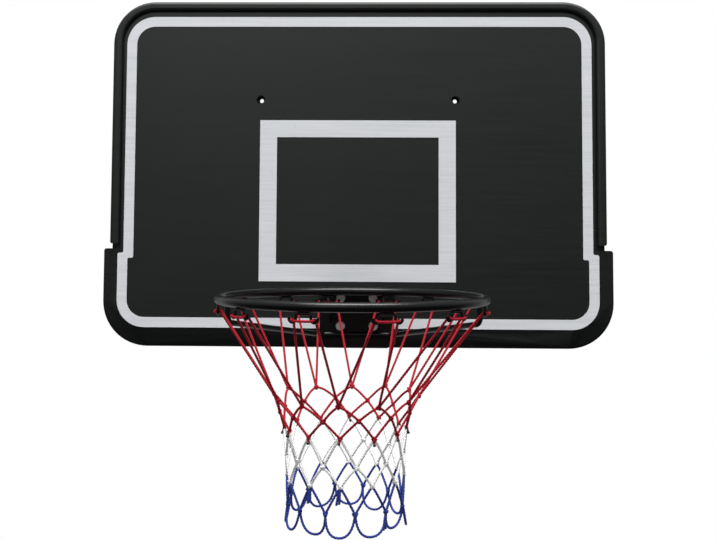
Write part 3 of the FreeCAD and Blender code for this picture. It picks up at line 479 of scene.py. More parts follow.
def softened(node, finish, edge=0.0, sharp=SHARP, reshape=None, crease_level=None):
    """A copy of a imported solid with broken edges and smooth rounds. Its form can be changed first, and slight
    creases at one level can be kept."""
    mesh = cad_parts[node].data.copy()
    mesh.name = node + "_finished"
    work = bmesh.new()
    work.from_mesh(mesh)
    bmesh.ops.remove_doubles(work, verts=work.verts, dist=SAME_POINT)
    if reshape:
        reshape(work)
    join_triangles(work)
    for face in work.faces:
        face.smooth = True
    for seam in work.edges:
        level = crease_level is not None and all(
            abs(end.co.y - crease_level) < SAME_LEVEL for end in seam.verts)
        seam.smooth = math.degrees(seam.calc_face_angle(0.0)) < (CREASE if level else sharp)
    work.to_mesh(mesh)
    work.free()
    thing = new_object(mesh.name, mesh)
    if edge:
        bevel = thing.modifiers.new("broken_edge", "BEVEL")
        bevel.width, bevel.segments, bevel.limit_method = edge, BEVEL_STEPS, "ANGLE"
        bevel.angle_limit = math.radians(sharp)
    flats = thing.modifiers.new("flat_faces_stay_flat", "WEIGHTED_NORMAL")
    flats.keep_sharp = not edge
    done = bpy.data.meshes.new_from_object(thing.evaluated_get(bpy.context.evaluated_depsgraph_get()))
    thing.modifiers.clear()
    thing.data = done
    thing.data.materials.clear()
    thing.data.materials.append(finish)
    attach(thing, "board")
    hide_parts(node)
    return thing


print("edges over", SHARP, "degrees are broken")

# %% [markdown]
# ## The margin below the white line
# Outside the white line the lower moulding falls away towards its rim, so the margin under the line lies in
# shade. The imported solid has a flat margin. Straight cuts first put edges on the copy's face where the fall
# begins, with five short ones round each corner. Each point beyond them then moves back, and a little
# outward, the further the nearer it lies to the rim. The middle stays flat, because the ring's plate is
# bolted to it.

# %% Measure and cut the face
SKIRT_HEIGHT, RIM_ROUND, LINE_ROUND = 0.208, 0.098, 0.059
PAD_HALF, PAD_EDGE, PAD_SLACK = 0.084, 0.004, 0.001
IN_PLANE = 1e-5
board_low, board_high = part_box("backboard")
line_low, line_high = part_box("border_stripe")
FACE, RIM_HALF, LINE_HALF = line_high[1], board_high[0], line_high[0]


def beyond(spot, half, foot, corner):
    """How far a point lies outside a line with round lower corners. It is negative inside."""
    across, down = abs(spot.x) - half + corner, foot + corner - spot.z
    if across > 0 and down > 0:
        return math.hypot(across, down) - corner
    return max(across, down) - corner


def cut_face(work, place, normal):
    """A straight cut across the board's front face."""
    front = [face for face in work.faces
             if all(abs(vertex.co.y - FACE) < IN_PLANE for vertex in face.verts)]
    parts = set(front)
    for face in front:
        parts.update(face.verts, face.edges)
    bmesh.ops.bisect_plane(work, geom=list(parts), dist=SAME_POINT, plane_co=place, plane_no=normal)


print("face at", round(FACE, 4), "line half", round(LINE_HALF, 4), "rim half", round(RIM_HALF, 4))

# %% A helper that lets the margin fall away
FALL, SPREAD = 0.010, 0.0025
CORNER_CUTS = (15, 30, 45, 60, 75)


def falling_margin(work):
    """Cuts the face along the line and its corners, and moves what lies outside back and outward."""
    top = board_low[2] + SKIRT_HEIGHT
    cut_face(work, (0, 0, top), (0, 0, 1))
    cut_face(work, (0, 0, line_low[2]), (0, 0, 1))
    for side in (-1, 1):
        for across in (PAD_HALF, PAD_HALF + PAD_EDGE, LINE_HALF):
            cut_face(work, (side * across, 0, 0), (1, 0, 0))
        middle = Vector((side * (LINE_HALF - LINE_ROUND), 0, line_low[2] + LINE_ROUND))
        for angle in CORNER_CUTS:
            out = Vector((side * math.sin(math.radians(angle)), 0, -math.cos(math.radians(angle))))
            cut_face(work, middle + out * LINE_ROUND, out)
    moved = 0
    for vertex in work.verts:
        past = beyond(vertex.co, LINE_HALF, line_low[2], LINE_ROUND)
        left = max(0.0, -beyond(vertex.co, RIM_HALF, board_low[2], RIM_ROUND))
        on_pad = abs(vertex.co.x) < PAD_HALF + PAD_SLACK
        if past > SAME_POINT and vertex.co.z < top + IN_PLANE and not on_pad:
            share = past / (past + left)
            vertex.co.y *= 1 + FALL / FACE * share
            wide = SPREAD * share * min(1.0, abs(vertex.co.x) / LINE_HALF)
            vertex.co.x += math.copysign(wide, vertex.co.x)
            vertex.co.z -= SPREAD * share * min(1.0, (top - vertex.co.z) / (SKIRT_HEIGHT - RIM_ROUND))
            moved += 1
    print("margin points moved back:", moved)


print("the margin falls by", FALL, "m")

# %% [markdown]
# ## The steps in the white line
# The line steps outward at the two notches, and its corners there have a small radius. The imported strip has
# square ones. Each is an edge that runs straight through the strip from front to back, where two of its
# sides meet sharply, so the corners are easy to pick out and bevel.

# %% A helper that rounds the line's steps
STEP_ROUND, STEP_SEGMENTS, STEP_ANGLE = 0.0038, 4, 60


def rounded_steps(work):
    """The border line's corners at the two notches, made round."""
    join_triangles(work)
    corners = [edge for edge in work.edges if edge.calc_face_angle(0.0) > math.radians(STEP_ANGLE)
               and (edge.verts[0].co - edge.verts[1].co).xz.length < SAME_POINT]
    bmesh.ops.bevel(work, geom=corners, offset=STEP_ROUND, offset_type="OFFSET", segments=STEP_SEGMENTS,
                    profile=0.5, affect="EDGES", clamp_overlap=True)
    print("step corners made round:", len(corners))


print("steps rounded by", STEP_ROUND, "m")

# %% [markdown]
# ## The softened pieces
# Now each piece gets its turn. Moulded and bent pieces have their rounds already and only need smooth
# shading over them. Cut plates get a bevel of just under a millimetre. The target's strip is right as it
# is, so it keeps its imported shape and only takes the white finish.

# %% Finish the board, its lines and the plates
ROUNDS, REAR_EDGE = 50.0, 0.0007
PLATE_EDGES = {"rim_flange": 0.0009, "rim_top_plate": 0.0009, "gusset_left": 0.0008, "gusset_right": 0.0008}
border = softened("border_stripe", white_line, sharp=ROUNDS, reshape=rounded_steps)
board = softened("backboard", plastic, sharp=ROUNDS, reshape=falling_margin,
                 crease_level=FACE)
for node, edge in PLATE_EDGES.items():
    softened(node, coat, edge)
brace = softened("rim_brace", coat, sharp=ROUNDS)
softened("rear_plate", dull_zinc, REAR_EDGE)
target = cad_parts["target_stripe"]
target.data.materials.clear()
target.data.materials.append(white_line)
print("faces:", {piece.name: len(piece.data.polygons) for piece in (board, border, brace)})

# %% [markdown]
# ## Rods that follow a path
# The ring, the hooks and the net are all rods or cords along a line, so one tree of Geometry Nodes serves
# them. It divides the line evenly, turns the section as it goes, and sweeps the section along. A round bar
# has a plain round section; a twisted cord has three strands, whose section is a circle with three lobes.
# The tree stores where a point lies along the cord and round it, for the cord's finish.

# %% Divide and twist the line
GEOMETRY, OBJECT, FINISH, WHOLE = (
    "NodeSocketGeometry", "NodeSocketObject", "NodeSocketMaterial", "NodeSocketInt")
sweep, s_in, s_out = new_group("swept_rod", "GeometryNodeTree", [
    ("Path", GEOMETRY, None), ("Radius", FLOAT, 0.002), ("Sides", WHOLE, 12), ("Strands", FLOAT, 3.0),
    ("Lobe Depth", FLOAT, 0.0), ("Twist Length", FLOAT, 0.014), ("Step", FLOAT, 0.002)], [("Rod", GEOMETRY)])


def kept_value(geometry, label, value):
    """Keeps a value on a curve's points, so that it can be stored on the swept mesh."""
    node = add_node(sweep, "GeometryNodeCaptureAttribute", {"Geometry": geometry}, domain="POINT")
    node.capture_items.new("FLOAT", label)
    sweep.links.new(value, node.inputs[label])
    return node.outputs


even = add_node(sweep, "GeometryNodeResampleCurve", {"Curve": s_in["Path"], "Length": s_in["Step"]},
                mode="LENGTH")
far = add_node(sweep, "GeometryNodeSplineParameter").outputs["Length"]
kept = kept_value(even.outputs[0], "along", far)
turns = sum_of(sweep, "DIVIDE", far, s_in["Twist Length"])
tilted = add_node(sweep, "GeometryNodeSetCurveTilt",
                  {"Curve": kept["Geometry"], "Tilt": sum_of(sweep, "MULTIPLY", turns, 2 * math.pi)})
print("nodes for the line:", len(sweep.nodes))

# %% Shape the section and sweep it
circle = add_node(sweep, "GeometryNodeCurvePrimitiveCircle",
                  {"Resolution": s_in["Sides"], "Radius": s_in["Radius"]})
spot = add_node(sweep, "GeometryNodeInputPosition").outputs[0]
parts = add_node(sweep, "ShaderNodeSeparateXYZ", {0: spot}).outputs
angle = sum_of(sweep, "ARCTAN2", parts["Y"], parts["X"])
wave = sum_of(sweep, "COSINE", sum_of(sweep, "MULTIPLY", angle, s_in["Strands"]))
marked = kept_value(circle.outputs[0], "lobe", wave)
swell = sum_of(sweep, "MULTIPLY", sum_of(sweep, "SUBTRACT", wave, 1.0), s_in["Lobe Depth"])
offset = add_node(sweep, "ShaderNodeVectorMath", {0: spot, "Scale": swell}, operation="SCALE")
section = add_node(sweep, "GeometryNodeSetPosition",
                   {"Geometry": marked["Geometry"], "Offset": offset.outputs[0]})
swept = add_node(sweep, "GeometryNodeCurveToMesh", {
    "Curve": tilted.outputs[0], "Profile Curve": section.outputs[0], "Fill Caps": True})
last = add_node(sweep, "GeometryNodeSetShadeSmooth", {"Geometry": swept.outputs[0]}).outputs[0]
for label, value in (("along", kept["along"]), ("lobe", marked["lobe"])):
    stored = add_node(sweep, "GeometryNodeStoreNamedAttribute",
                      {"Geometry": last, "Name": label, "Value": value}, data_type="FLOAT", domain="POINT")
    last = stored.outputs[0]
sweep.links.new(last, s_out["Rod"])
print("sweep tree nodes:", len(sweep.nodes))

# %% [markdown]
# ## Rods along a path, and copies of them on points
# Two short trees finish the job. The first sweeps the object's own curves and adds a small swept form, such
# as a knot, at each point of a second object. The second only sets copies of a form on points, as for the
# hooks. Both end with real geometry and a finish, because a copy that stays an instance would not leave
# Blender.

# %% What both trees need
def form_of(tree, socket):
    """The geometry of an object that a tree is given."""
    return add_node(tree, "GeometryNodeObjectInfo", {"Object": socket}).outputs["Geometry"]


def copies_on_points(tree, points, form):
    """Copies of a form on points, turned and sized by the points' own values."""
    turn, share = (
        add_node(tree, "GeometryNodeInputNamedAttribute", {"Name": label}, data_type=kind).outputs[0]
        for label, kind in (("turn", "FLOAT_VECTOR"), ("share", "FLOAT")))
    return add_node(tree, "GeometryNodeInstanceOnPoints", {
        "Points": points, "Instance": form, "Rotation": turn, "Scale": share}).outputs[0]


def end_tree(tree, geometry, finish, out):
    """A tree's end: the copies are made real and get their finish."""
    real = add_node(tree, "GeometryNodeRealizeInstances", {"Geometry": geometry})
    dressed = add_node(tree, "GeometryNodeSetMaterial", {"Geometry": real.outputs[0], "Material": finish})
    tree.links.new(dressed.outputs[0], out)


print("copies read their turn and their share from the points")

# %% Build the two trees
ROD_SIZES = [("Radius", FLOAT, 0.002), ("Sides", WHOLE, 12), ("Lobe Depth", FLOAT, 0.0),
             ("Twist Length", FLOAT, 0.014), ("Step", FLOAT, 0.002)]
strung, c_in, c_out = new_group(
    "strung_cord", "GeometryNodeTree",
    [("Geometry", GEOMETRY, None), *ROD_SIZES, ("Form Path", OBJECT, None), ("Form Points", OBJECT, None),
     ("Finish", FINISH, None)], [("Geometry", GEOMETRY)])


def swept_path(path):
    """The sweep as a node of the cord's tree, with the cord's own sizes."""
    sizes = {label: c_in[label] for label, _, _ in ROD_SIZES}
    return add_node(strung, "GeometryNodeGroup", {"Path": path, **sizes}, node_tree=sweep).outputs["Rod"]


form_path, form_points = form_of(strung, c_in["Form Path"]), form_of(strung, c_in["Form Points"])
forms = copies_on_points(strung, form_points, swept_path(form_path))
joined = add_node(strung, "GeometryNodeJoinGeometry", {0: swept_path(c_in["Geometry"])})
strung.links.new(forms, joined.inputs[0])
end_tree(strung, joined.outputs[0], c_in["Finish"], c_out["Geometry"])

placed, p_in, p_out = new_group(
    "copies_on_points", "GeometryNodeTree",
    [("Geometry", GEOMETRY, None), ("Form", OBJECT, None), ("Finish", FINISH, None)],
    [("Geometry", GEOMETRY)])
copies = copies_on_points(placed, p_in["Geometry"], form_of(placed, p_in["Form"]))
end_tree(placed, copies, p_in["Finish"], p_out["Geometry"])
print("trees:", {tree.name: len(tree.nodes) for tree in (sweep, strung, placed)})

# %% [markdown]
# ## From a tree to a plain mesh
# A tree works on an object through a modifier. Its result is taken as a plain mesh, and the modifier and
# the helper objects are removed, so that each finished piece is one mesh at the origin. Lines are given to
# a tree as curves, and places as a mesh of bare points.

# %% Run a tree and keep its mesh
def run_tree(thing, tree, **values):
    """Runs a tree on an object and returns the result as a plain mesh. Words name the tree's inputs."""
    modifier = thing.modifiers.new(tree.name, "NODES")
    modifier.node_group = tree
    names = {item.name: item.identifier for item in tree.interface.items_tree
             if item.item_type == "SOCKET" and item.in_out == "INPUT"}
    for word, value in values.items():
        modifier[names[socket_name(word)]] = value
    result = bpy.data.meshes.new_from_object(thing.evaluated_get(bpy.context.evaluated_depsgraph_get()))
    thing.modifiers.remove(modifier)
    return result


def keep(name, mesh, *helpers):
    """The finished piece. The helper objects that made it are removed."""
    for helper in helpers:
        bpy.data.objects.remove(helper)
    mesh.name = name
    return new_object(name, mesh)


print("inputs for copies:", [item.name for item in placed.interface.items_tree if item.in_out == "INPUT"])

# %% Draw lines and points for a tree
SPANS, SMOOTH_ORDER = 8, 3


def path_object(name, routes, closed=False, kind="NURBS"):
    """A curve object with one spline for each list of points."""
    curve = bpy.data.curves.new(name, "CURVE")
    curve.dimensions = "3D"
    curve.resolution_u = SPANS
    for route in routes:
        spline = curve.splines.new(kind)
        spline.points.add(len(route) - 1)
        for point, place in zip(spline.points, route):
            point.co = (*place, 1.0)
        spline.use_cyclic_u = closed
        spline.order_u = SMOOTH_ORDER
        spline.use_endpoint_u = not closed
    return new_object(name, curve)


def point_object(name, places, turns, shares):
    """A mesh of bare points that carry a turn and a size for the copies."""
    mesh = bpy.data.meshes.new(name)
    mesh.from_pydata(places, [], [])
    mesh.attributes.new("turn", "FLOAT_VECTOR", "POINT")
    mesh.attributes.new("share", "FLOAT", "POINT")
    for index, (angle, size) in enumerate(zip(turns, shares)):
        mesh.attributes["turn"].data[index].vector = angle
        mesh.attributes["share"].data[index].value = size
    return new_object(name, mesh)


none_path = path_object("no_form", [])
none_points = point_object("no_points", [], [], [])
print("empty helpers for rods without knots:", none_path.name, none_points.name)

# %% [markdown]
# ## The ring
# The ring is a round steel bar, bent into a circle and welded shut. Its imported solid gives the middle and
# the size, and the sweep makes it afresh with a finer skin, so that its long highlight runs without a
# break.

# %% Sweep the ring
RING_STEPS, RING_SIDES, RING_STEP, NO_TWIST = 240, 28, 0.007, 1000.0
low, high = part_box("rim_ring")
ring_middle = (Vector(low) + Vector(high)) / 2
bar_radius = (high[2] - low[2]) / 2
ring_radius = (high[0] - low[0]) / 2 - bar_radius


def on_ring(turn, along=0.0, outward=0.0, drop=0.0):
    """A point near the ring: an angle from the front, then distances along, outward and below it."""
    out = Vector((math.sin(turn), -math.cos(turn), 0))
    side = Vector((math.cos(turn), math.sin(turn), 0))
    return ring_middle + out * (ring_radius + outward) + side * along - Vector((0, 0, drop))


def steel_rod(line, radius, sides, step):
    """The mesh of a plain round bar along a line."""
    return run_tree(line, strung, radius=radius, sides=sides, lobe_depth=0.0, twist_length=NO_TWIST,
                    step=step, form_path=none_path, form_points=none_points, finish=coat)


circle_points = [on_ring(2 * math.pi * step / RING_STEPS) for step in range(RING_STEPS)]
ring_line = path_object("ring_line", [circle_points], closed=True, kind="POLY")
ring = keep("ring_bar", steel_rod(ring_line, bar_radius, RING_SIDES, RING_STEP), ring_line)
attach(ring, "board")
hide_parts("rim_ring")
print("ring radius", round(ring_radius, 4), "bar", round(bar_radius, 4), "faces", len(ring.data.polygons))

# %% [markdown]
# ## The hooks
# Twelve hooks hang under the ring. Each is one wire with a straight middle, which is welded to the bar, and
# an open loop at either end. They stand evenly round the front and closer by the bracket. One hook's line
# is drawn in its own plane, swept to a round wire, and set round the ring.

# %% Draw one hook
HOOKS = 12
PITCH = 2 * math.pi / HOOKS
WIRE, FLAT_HALF, BEND, LOOP, LEG, TIP = 0.0025, 0.0085, 0.004, 0.0055, 0.004, 0.0025
BEND_STEPS, LOOP_STEPS = 8, 16
BEND_DROP = bar_radius + WIRE + BEND
LOOP_DROP = BEND_DROP + LEG
LOOP_ALONG = FLAT_HALF + BEND + LOOP
HOOK_FLOOR = LOOP_DROP + LOOP


def hook_line():
    """A hook's middle line: a bend down from the straight, a loop, and a short tip, on both sides alike."""
    right = []
    for step in range(BEND_STEPS + 1):
        turn = math.pi / 2 * step / BEND_STEPS
        right.append((FLAT_HALF + BEND * math.sin(turn), 0, -BEND_DROP + BEND * math.cos(turn)))
    for step in range(LOOP_STEPS + 1):
        turn = math.pi * step / LOOP_STEPS
        right.append((LOOP_ALONG - LOOP * math.cos(turn), 0, -LOOP_DROP - LOOP * math.sin(turn)))
    right.append((LOOP_ALONG + LOOP, 0, -LOOP_DROP + TIP))
    return [(-x, y, z) for x, y, z in reversed(right)] + right


one_line = path_object("hook_line", [hook_line()], kind="POLY")
print("a hook's line reaches", round(HOOK_FLOOR, 4), "m below the ring's middle")

# %% Bend one hook and set copies round the ring
WIRE_SIDES, WIRE_STEP = 12, 0.001
RIGHT_HOOKS, HOOK_TURN = [16, 48, 80, 116, 143.5, 165], -1.2
hook_angles = RIGHT_HOOKS + [-angle for angle in reversed(RIGHT_HOOKS)]
hook_turns = [math.radians(angle + HOOK_TURN) for angle in hook_angles]
one_hook = new_object("one_hook", steel_rod(one_line, WIRE, WIRE_SIDES, WIRE_STEP))
hook_points = point_object("hook_points", [on_ring(turn) for turn in hook_turns],
                           [(0, 0, turn) for turn in hook_turns], [1.0] * HOOKS)
hooks_mesh = run_tree(hook_points, placed, form=one_hook, finish=coat)
hooks = keep("net_hooks", hooks_mesh, one_line, one_hook, hook_points)
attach(hooks, "board")
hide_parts(*["net_hook_%02d" % number for number in range(1, HOOKS + 1)])
print("hooks:", HOOKS, "faces", len(hooks.data.polygons))

# %% [markdown]
# ## The knots of the net
# The net is knotted from one length of cord in each colour. A loop of red cord lies over each hook, and its
# two legs run down to the first row of knots. From there the cords part and meet in diamonds, from red to
# white to blue, and the last row ends in open loops. The knots are placed first, row by row, a little
# unevenly as a tied net is. The chance in it has a fixed seed, so that every run ties the same net.

# %% Place the knots
NET_TURN, NET_LEAN = math.radians(-2.7), Vector((-0.0105, 0, 0))
ROWS = [(0.128, 0.169), (0.115, 0.193), (0.106, 0.223), (0.103, 0.267), (0.103, 0.304), (0.101, 0.347)]
RED_ROWS, WHITE_ROWS, BLUE_ROWS = (0, 1, 2), (3, 4), (5,)
UNEVEN_TURN, UNEVEN_OUT, UNEVEN_DROP = 0.02, 0.002, 0.003
tying = random.Random(7)


def give_or_take(most):
    """A chance departure to either side."""
    return tying.uniform(-most, most)


def knot_turn(row, index):
    """A knot's angle from the front. Every other row stands half a mesh aside."""
    return NET_TURN + (index + (1.0 if row % 2 == 0 else 0.5)) * PITCH


knots = {}
for row, (radius, drop) in enumerate(ROWS):
    for index in range(HOOKS):
        turn = knot_turn(row, index) + give_or_take(UNEVEN_TURN)
        outward = radius - ring_radius + give_or_take(UNEVEN_OUT)
        knots[row, index] = on_ring(turn, 0, outward, drop + give_or_take(UNEVEN_DROP)) + NET_LEAN
print("knots:", len(knots))

# %% [markdown]
# ## The cords of the net
# The cords run from knot to knot, and stiff twine does not run straight: each run has a slight bow. At the
# top a cord goes over both loops of its hook, just clear of the wire. At the foot it hangs in an open loop.
# Each run is only a few points here, because the curve and the sweep make the smooth cord from them.

# %% Cords between the rows
BOWS = (0.003, 0.001, 0.002, 0.002, 0.002)
BOW_LEAST, BOW_MOST, BOW_OUT = 0.6, 1.4, 0.4
BOW_STARTS, BOW_ENDS, BOW_EASES = 0.28, 0.66, 0.8


def bowed(first, second, bow):
    """A cord's line between two knots, pushed out from the net's axis and up by a small bow."""
    middle = (first + second) / 2
    away = Vector((middle.x - ring_middle.x, middle.y - ring_middle.y, 0)).normalized()
    lift = away * bow * BOW_OUT + Vector((0, 0, bow))
    return [first, first.lerp(second, BOW_STARTS) + lift, first.lerp(second, BOW_ENDS) + lift * BOW_EASES,
            second]


def cords_from(row):
    """The two cords from each knot of a row down to its neighbours in the next."""
    shift = (0, 1) if row % 2 == 0 else (-1, 0)
    routes = []
    for index in range(HOOKS):
        for step in shift:
            lower = knots[row + 1, (index + step) % HOOKS]
            routes.append(bowed(knots[row, index], lower, BOWS[row] * tying.uniform(BOW_LEAST, BOW_MOST)))
    return routes


red_diamonds = cords_from(0) + cords_from(1)
white_routes = cords_from(2) + cords_from(3)
blue_diamonds = cords_from(4)
print("in diamonds:", len(red_diamonds), "red,", len(white_routes), "white,", len(blue_diamonds), "blue")

# %% Cords over the hooks
CORD, CORD_GAP = 0.0024, 0.0003
WRAP = WIRE + CORD + CORD_GAP
LEG_SHARES = (0.3, 0.7, 0.95)


def over_loop(turn, along):
    """The cord's way over the floor of one hook loop, from the net's side to the outer side."""
    near = WRAP * math.tan(math.pi / 8)
    spots = [(-WRAP, HOOK_FLOOR - near), (-near, HOOK_FLOOR - WRAP), (near, HOOK_FLOOR - WRAP),
             (WRAP, HOOK_FLOOR - near)]
    return [on_ring(turn, along, outward, drop) for outward, drop in spots]


def hook_cord(index):
    """One leg up from a knot, over both loops of a hook, and down to the next knot."""
    left, right = over_loop(hook_turns[index], -LOOP_ALONG), over_loop(hook_turns[index], LOOP_ALONG)
    start, end = knots[0, (index - 1) % HOOKS], knots[0, index]
    rise = [start] + [start.lerp(left[0], share) for share in LEG_SHARES]
    fall = [end.lerp(right[0], share) for share in reversed(LEG_SHARES)] + [end]
    return rise + left + list(reversed(right)) + fall


red_routes = [hook_cord(index) for index in range(HOOKS)] + red_diamonds
print("over the hooks:", HOOKS, "cords,", round(WRAP, 4), "m from the wire's middle")

# %% Loops at the foot
LOOP_LOW, LOOP_UNEVEN, LOOP_SWING = 0.386, 0.006, 0.08
LEVEL_ONLY = Vector((1, 1, 0))
LOOP_SHARES = [(0.02, 0.25), (0.06, 0.55), (0.17, 0.85), (0.36, 1.03), (0.64, 1.03), (0.83, 0.85),
               (0.94, 0.55), (0.98, 0.25)]


def bottom_loop(index):
    """An open loop that hangs between two knots of the last row."""
    last = BLUE_ROWS[-1]
    first, second = knots[last, index], knots[last, (index + 1) % HOOKS]
    low = ring_middle.z - LOOP_LOW + CORD + tying.uniform(0, LOOP_UNEVEN)
    depth = (first.z + second.z) / 2 - low
    swing = (first - ring_middle - NET_LEAN) * LEVEL_ONLY * give_or_take(LOOP_SWING)
    route = [first.lerp(second, across) - Vector((0, 0, depth * down)) + swing * down
             for across, down in LOOP_SHARES]
    return [first] + route + [second]


blue_routes = blue_diamonds + [bottom_loop(index) for index in range(HOOKS)]
print("cords:", len(red_routes), "red,", len(white_routes), "white,", len(blue_routes), "blue")

# %% [markdown]
# ## The cut ends
# A net maker leaves a short end at a knot where one colour stops, and longer tails where two ends are tied.
# The photograph shows a dark-tipped stub under each of the last red knots, and a few blue tails. Each is
# one more run of cord, with a free end that leans a little.

# %% Leave the cut ends at the knots
STUB, TAIL, SHORTER = 0.009, 0.028, 0.94
STUB_LEAN, TAIL_LEAN, END_OUT = 0.003, 0.006, 0.003
CURL_OUT, CURL_DOWN = 0.6, 0.4
TAIL_KNOTS = ((4, 10), (4, 11), (5, 9), (5, 1))


def hanging_end(knot, length, aside):
    """A cut end that hangs from a knot, leaning a little along the net."""
    outward = (knot - ring_middle - NET_LEAN) * LEVEL_ONLY
    level = Vector((-outward.y, outward.x, 0)).normalized() * aside + outward.normalized() * END_OUT
    curl = knot + level * CURL_OUT - Vector((0, 0, length * CURL_DOWN))
    return [knot, curl, knot + level - Vector((0, 0, length))]


stubs = [hanging_end(knots[RED_ROWS[-1], index], STUB, give_or_take(STUB_LEAN)) for index in range(HOOKS)]
tails = []
for row, index in TAIL_KNOTS:
    lean = give_or_take(TAIL_LEAN)
    tails.append(hanging_end(knots[row, index], TAIL, lean - CORD))
    tails.append(hanging_end(knots[row, index], TAIL * SHORTER, lean + CORD))
red_routes += stubs
blue_routes += tails
print("cut ends:", len(stubs), "red stubs,", len(tails), "blue tails")

# %% [markdown]
# ## Tying the net
# A knot pulled tight is an overhand knot, and its line is the curve called a trefoil. It is drawn once,
# small, and the tree sets a swept copy on every knot's place, each turned a little differently.

# %% Draw one knot
KNOT_SIZE, KNOT_STEPS, KNOT_DEPTH = 0.00115, 36, 1.1


def knot_line(size):
    """The line of an overhand knot pulled tight."""
    points = []
    for step in range(KNOT_STEPS):
        t = 2 * math.pi * step / KNOT_STEPS
        points.append((size * (math.sin(t) + 2 * math.sin(2 * t)), size * KNOT_DEPTH * -math.sin(3 * t),
                       size * (math.cos(t) - 2 * math.cos(2 * t))))
    return points


knot_path = path_object("knot_line", [knot_line(KNOT_SIZE)], closed=True)
print("points in a knot's line:", KNOT_STEPS)

# %% Tie the knots and sweep the cords
CORD_SIDES, STRAND_DEPTH, TWIST_LENGTH, CORD_STEP = 9, 0.10, 0.016, 0.002
KNOT_TIP, KNOT_ROLL, KNOT_LEAST, KNOT_MOST = 0.3, 0.5, 0.92, 1.08


def net_part(name, routes, rows, finish, node):
    """One colour of the net: its cords and its knots."""
    places, turns, sizes = [], [], []
    for row in rows:
        for index in range(HOOKS):
            places.append(knots[row, index])
            turns.append((give_or_take(KNOT_TIP), give_or_take(KNOT_ROLL), knot_turn(row, index)))
            sizes.append(tying.uniform(KNOT_LEAST, KNOT_MOST))
    points = point_object(name + "_knots", places, turns, sizes)
    lines = path_object(name + "_lines", routes)
    mesh = run_tree(lines, strung, radius=CORD, sides=CORD_SIDES, lobe_depth=STRAND_DEPTH,
                    twist_length=TWIST_LENGTH, step=CORD_STEP, form_path=knot_path, form_points=points,
                    finish=finish)
    piece = keep(name, mesh, points, lines)
    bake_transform(piece)
    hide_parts(node)
    print(name, "faces", len(piece.data.polygons))


net_part("red_net", red_routes, RED_ROWS, red_cord, "net_red_cord")
net_part("white_net", white_routes, WHITE_ROWS, white_cord, "net_white_cord")
net_part("blue_net", blue_routes, BLUE_ROWS, blue_cord, "net_blue_cord")
bpy.data.objects.remove(knot_path)

# %% [markdown]
# ## The sealed ends
# A cut end of plastic cord is melted so that it cannot fray, and leaves a small dark drop. One drop is a
# ball of twenty-four sides whose points are pushed about a little, and it is copied to the end of every red
# stub.

# %% Melt one drop and copy it to the stubs
DROP_RADIUS, DROP_SIDES, DROP_RINGS = CORD * 1.12, 24, 14
LUMP, LUMP_COUNT, LUMP_LEAN = 0.14, 3, 900
DROP_BELOW, DROP_ABOVE = 0.75, 1.1
DROP_TILT, DROP_SPIN, DROP_LEAST, DROP_MOST = 0.4, 6, 0.9, 1.15
drop_mesh = bpy.data.meshes.new("drop")
work = bmesh.new()
bmesh.ops.create_uvsphere(work, u_segments=DROP_SIDES, v_segments=DROP_RINGS, radius=DROP_RADIUS)
for vertex in work.verts:
    x, y, z = vertex.co
    swell = 1 + LUMP * math.sin(LUMP_COUNT * math.atan2(y, x) + LUMP_LEAN * z)
    vertex.co = Vector((x * swell, y * swell, z * (DROP_BELOW if z < 0 else DROP_ABOVE)))
work.to_mesh(drop_mesh)
work.free()
drop_mesh.shade_smooth()
one_drop = new_object("one_drop", drop_mesh)
drop_turns = [(give_or_take(DROP_TILT), give_or_take(DROP_TILT), tying.uniform(0, DROP_SPIN)) for _ in stubs]
drop_sizes = [tying.uniform(DROP_LEAST, DROP_MOST) for _ in stubs]
drop_points = point_object("drop_points", [stub[-1] for stub in stubs], drop_turns, drop_sizes)
drops_mesh = run_tree(drop_points, placed, form=one_drop, finish=sealed)
drops = keep("sealed_ends", drops_mesh, one_drop, drop_points)
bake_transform(drops)
print("sealed ends:", len(stubs), "faces", len(drops.data.polygons))

# %% [markdown]
# ## The bolts, washers and nuts
# Four hexagon bolts clamp the rim to the board. A hexagon head is cut from a bar and turned to a chamfer on
# its end, so its rim is a circle that dips at the six corners: the height of each side follows from how far
# the hexagon lies outside the chamfer's circle. The bolts' ends behind the nuts carry a thread, one crest
# that climbs round and round. One of each is made as a mesh of rings and copied to the four holes.

# %% Where the bolts are
head_low, head_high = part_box("rim_bolts")
nut_low, nut_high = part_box("rear_nuts")
washer_low, washer_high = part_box("rim_washers")
rear_low, rear_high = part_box("rear_washers")
FLATS, BOLT_RADIUS, THREAD_PITCH, WASHER_RADIUS = 0.017, 0.005, 0.0015, 0.010
BOLT_PLACES = [(across, level) for across in (washer_low[0] + WASHER_RADIUS, washer_high[0] - WASHER_RADIUS)
               for level in (washer_low[2] + WASHER_RADIUS, washer_high[2] - WASHER_RADIUS)]
print("bolts at", [(round(x, 4), round(z, 4)) for x, z in BOLT_PLACES],
      "head", round(washer_low[1] - head_low[1], 4))

# %% Shapes turned about the bolt's axis
SHARP_TURN = 32


